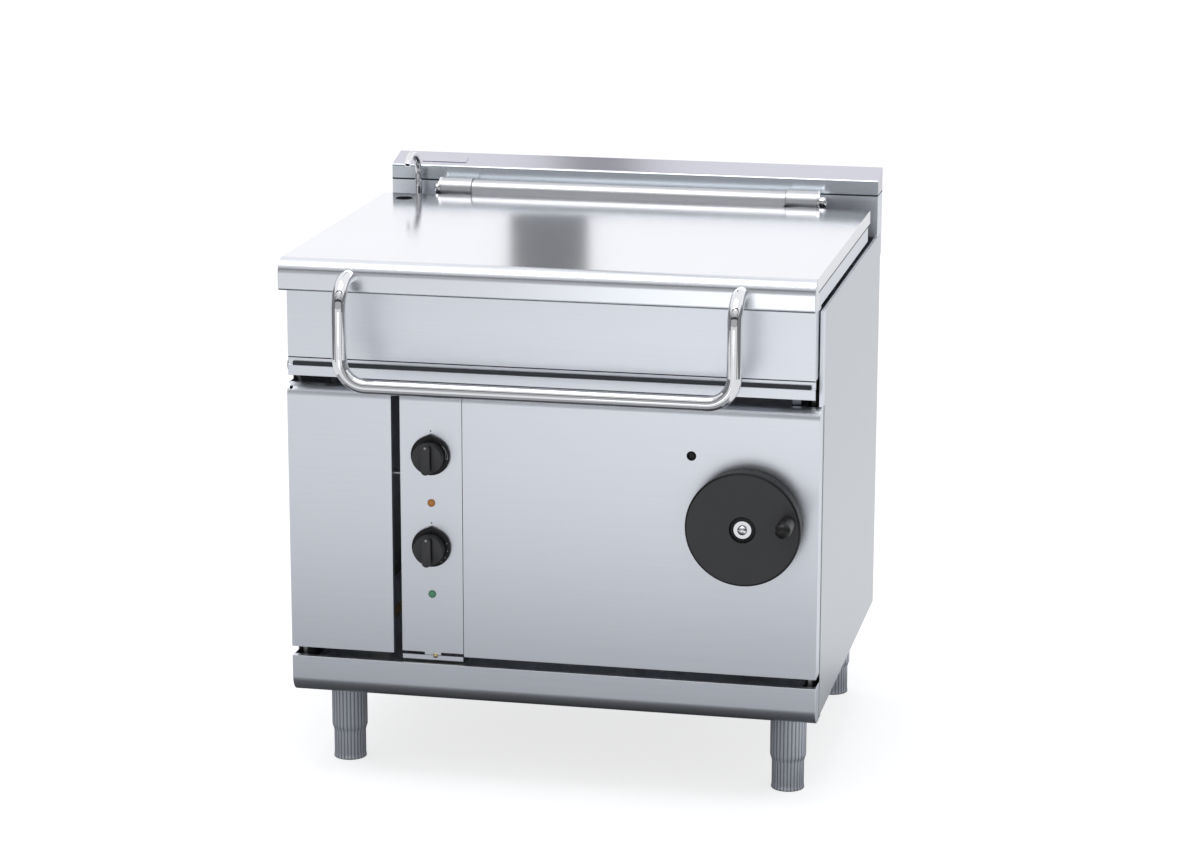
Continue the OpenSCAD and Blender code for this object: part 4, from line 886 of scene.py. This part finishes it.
# %% Grommet of the fill hole
GROMMET_STEPS, GROMMET_LOW, HOLE_PLAY = 48, -18, 2 * MM
rim = [v.co for v in nodes["lid_liner"].data.vertices if v.co.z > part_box("lid_liner")[1][2] - 0.1 * MM]
rim_x, rim_y = ([point[axis] for point in rim] for axis in (0, 1))
hole_x, hole_y = (min(rim_x) + max(rim_x)) / 2, (min(rim_y) + max(rim_y)) / 2
hole_r = (max(rim_x) - min(rim_x)) / 2 - HOLE_PLAY
outer = hole_r / MM - 0.1
section = ((outer, GROMMET_LOW), (outer, 0.1), (outer - 0.3, 0.5), (outer - 1.1, 0.5), (outer - 1.4, 0.1),
           (outer - 1.4, GROMMET_LOW))
grommet = bmesh.new()
put = aimed("up", (hole_x, hole_y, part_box("lid_skin")[1][2]))
rings = [[grommet.verts.new(put(p, h)) for p in circle(r, GROMMET_STEPS)] for r, h in section]
for one, other in zip(rings, rings[1:] + rings[:1]):
    for k in range(GROMMET_STEPS):
        n = (k + 1) % GROMMET_STEPS
        grommet.faces.new((one[k], one[n], other[n], other[k]))
bmesh.ops.recalc_face_normals(grommet, faces=grommet.faces)
keep("fill_grommet", smooth_mesh(grommet, "fill_grommet"), rubber, "lid")
print("grommet at", round(hole_x, 4), round(hole_y, 4), "radius", round(hole_r, 4))

# %% [markdown]
# The picture was made in a white studio. A polished lid shows its surroundings, so the room
# matters more than the lamps. The room is white to the camera, a little softer to matte
# surfaces, and to reflections white with a greyer part in front, where the camera stands.
# A wide soft lamp hangs overhead and a faint one stands low in front.

# %% Room
world = bpy.data.worlds.new("white_studio")
scene.world = world
world.use_nodes = True
world.node_tree.nodes.clear()
room = Network(world.node_tree)
seen, through, mirrored = (room.add("ShaderNodeLightPath", output=f"Is {kind} Ray")
                           for kind in ("Camera", "Transmission", "Glossy"))
sky = room.add("ShaderNodeTexCoord", output="Generated")
back_to_front, height = (room.add("ShaderNodeSeparateXYZ", {"Vector": sky}, output=axis) for axis in (1, 2))
front = room.add("ShaderNodeMapRange", {"Value": back_to_front, 1: -0.10, 2: -0.50, 3: 0.0, 4: 1.0})
overhead = room.add("ShaderNodeMapRange", {"Value": height, 1: 0.55, 2: 0.85, 3: 1.0, 4: 0.0})
shade = front * overhead
white = room.add("ShaderNodeBackground", {"Color": rgba(1, 1, 1), "Strength": 1.0})
studio = room.add("ShaderNodeBackground", {"Color": rgba(0.97, 0.975, 1.0), "Strength": 1.02 - shade * 0.56})
soft = room.add("ShaderNodeBackground", {"Color": rgba(0.95, 0.965, 1.0), "Strength": 0.80})
plain = room.add("ShaderNodeMixShader", {0: mirrored, 1: soft, 2: studio})
blend = room.add("ShaderNodeMixShader", {0: seen.maths("MAXIMUM", seen, through), 1: plain, 2: white})
room.tree.links.new(blend.socket, room.tree.nodes.new("ShaderNodeOutputWorld").inputs[0])
print("the room has", len(room.tree.nodes), "nodes")


# %% Lamps
def lamp(name, place, aim, size, power):
    data = bpy.data.lights.new(name, "AREA")
    data.shape = "RECTANGLE"
    data.size, data.size_y = size
    data.energy = power
    obj = bpy.data.objects.new(name, data)
    scene.collection.objects.link(obj)
    obj.location = place
    obj.rotation_euler = (Vector(aim) - Vector(place)).to_track_quat("-Z", "Y").to_euler()
    print(name, power, "W")


lamp("low_front_lamp", (-0.1, -3.9, 0.16), (0.1, -0.3, 0.6), (1.1, 0.26), 1.6)
lamp("overhead_lamp", (-0.1, -0.9, 3.4), (0.1, 0, 0.9), (2.2, 1.8), 34)

# %% [markdown]
# The floor is pale and keeps the soft shadow of the feet. To the camera it also glows a
# little, which lifts it to the white of the paper without any more light on the object.


# %% Floor
def flat(name, finish, corner, along, up):
    """A four-cornered sheet of the studio, from one corner and two edges."""
    corner, along, up = Vector(corner), Vector(along), Vector(up)
    mesh = bpy.data.meshes.new(name)
    mesh.from_pydata([corner, corner + along, corner + along + up, corner + up], [], [(0, 1, 2, 3)])
    mesh.materials.append(finish.material)
    obj = bpy.data.objects.new(name, mesh)
    scene.collection.objects.link(obj)
    return obj


paper = Finish("pale_floor")
paper.set(Base_Color=rgba(0.40, 0.405, 0.41), Roughness=0.9, Specular_IOR_Level=0.0)
to_camera, to_metal = (paper.add("ShaderNodeLightPath", output=f"Is {kind} Ray")
                       for kind in ("Camera", "Glossy"))
strength = to_camera * 0.73 + to_metal * 0.48
glow = paper.add("ShaderNodeEmission", {"Color": rgba(1, 1, 1), "Strength": strength})
lit = Wire(paper.tree, paper.shader.outputs[0])
both = paper.add("ShaderNodeAddShader", {0: lit, 1: glow})
paper.tree.links.new(both.socket, paper.tree.nodes["Material Output"].inputs["Surface"])
flat("floor", paper, (-40, -40, 0), (80, 0, 0), (0, 100, 0))
print("the floor's finish has", len(paper.tree.nodes), "nodes")

# %% [markdown]
# Flags are dark cloths that only reflections see. The one behind gives the lid its grey band.
# The grey one on the floor is painted shade of the floor in front, and darkens the panels towards their feet;
# the black one under the pan is its painted shadow on the floor, and darkens the rail's curve. The narrow
# ones draw dark lines in the polished handle, and those at the sides darken the tubes' edges.


# %% Flags
def flag_cloth(name, shade):
    cloth = Finish(name)
    weave = cloth.noise(60.0, 2.0)
    dark = rgba(shade * 0.9, shade * 0.92, shade * 0.95)
    light = rgba(shade * 1.1, shade * 1.12, shade * 1.15)
    cloth.set(Base_Color=cloth.mix(weave, dark, light), Roughness=1.0)
    return cloth


dark_cloth = flag_cloth("dark_flag", 0.28)
black_cloth = flag_cloth("black_flag", 0.07)
grey_cloth = flag_cloth("grey_flag", 0.36)
FLAGS = {
    "back_flag": (dark_cloth, (-0.855, 3.0, 0), (0.21, 0, 0), (0, 0, 7)),
    # The two floor flags are painted shade seen only in reflections: the grey one for the floor in front, the
    # black one for the pan's own shadow under it.
    "floor_flag": (grey_cloth, (-1.5, -1.45, 0.002), (2.25, 0, 0), (0, 1.9, 0)),
    "under_flag": (black_cloth, (-1.0, -0.62, 0.003), (1.5, 0, 0), (0, 1.07, 0)),
    "bar_flag_low": (black_cloth, (-4, -3, 2), (8, 0, 0), (0, 0, 0.5)),
    "bar_flag_high": (black_cloth, (-4, -1.7, 3), (8, 0, 0), (0, 0.2, 0.2)),
    "bar_flag_left": (black_cloth, (-2.6, -2.2, 0), (0.3, -0.3, 0), (0, 0, 3)),
    "bar_flag_right": (black_cloth, (2.3, -2.5, 0), (0.3, 0.3, 0), (0, 0, 3)),
    "left_flag": (dark_cloth, (-3.4, -2.6, 0), (0, 3.8, 0), (0, 0, 2.4)),
    "right_flag": (dark_cloth, (3.4, -2.6, 0), (0, 3.8, 0), (0, 0, 2.4)),
}
for name, (cloth, corner, along, up) in FLAGS.items():
    flag = flat(name, cloth, corner, along, up)
    flag.visible_camera = flag.visible_diffuse = flag.visible_shadow = False
print(len(FLAGS), "flags")
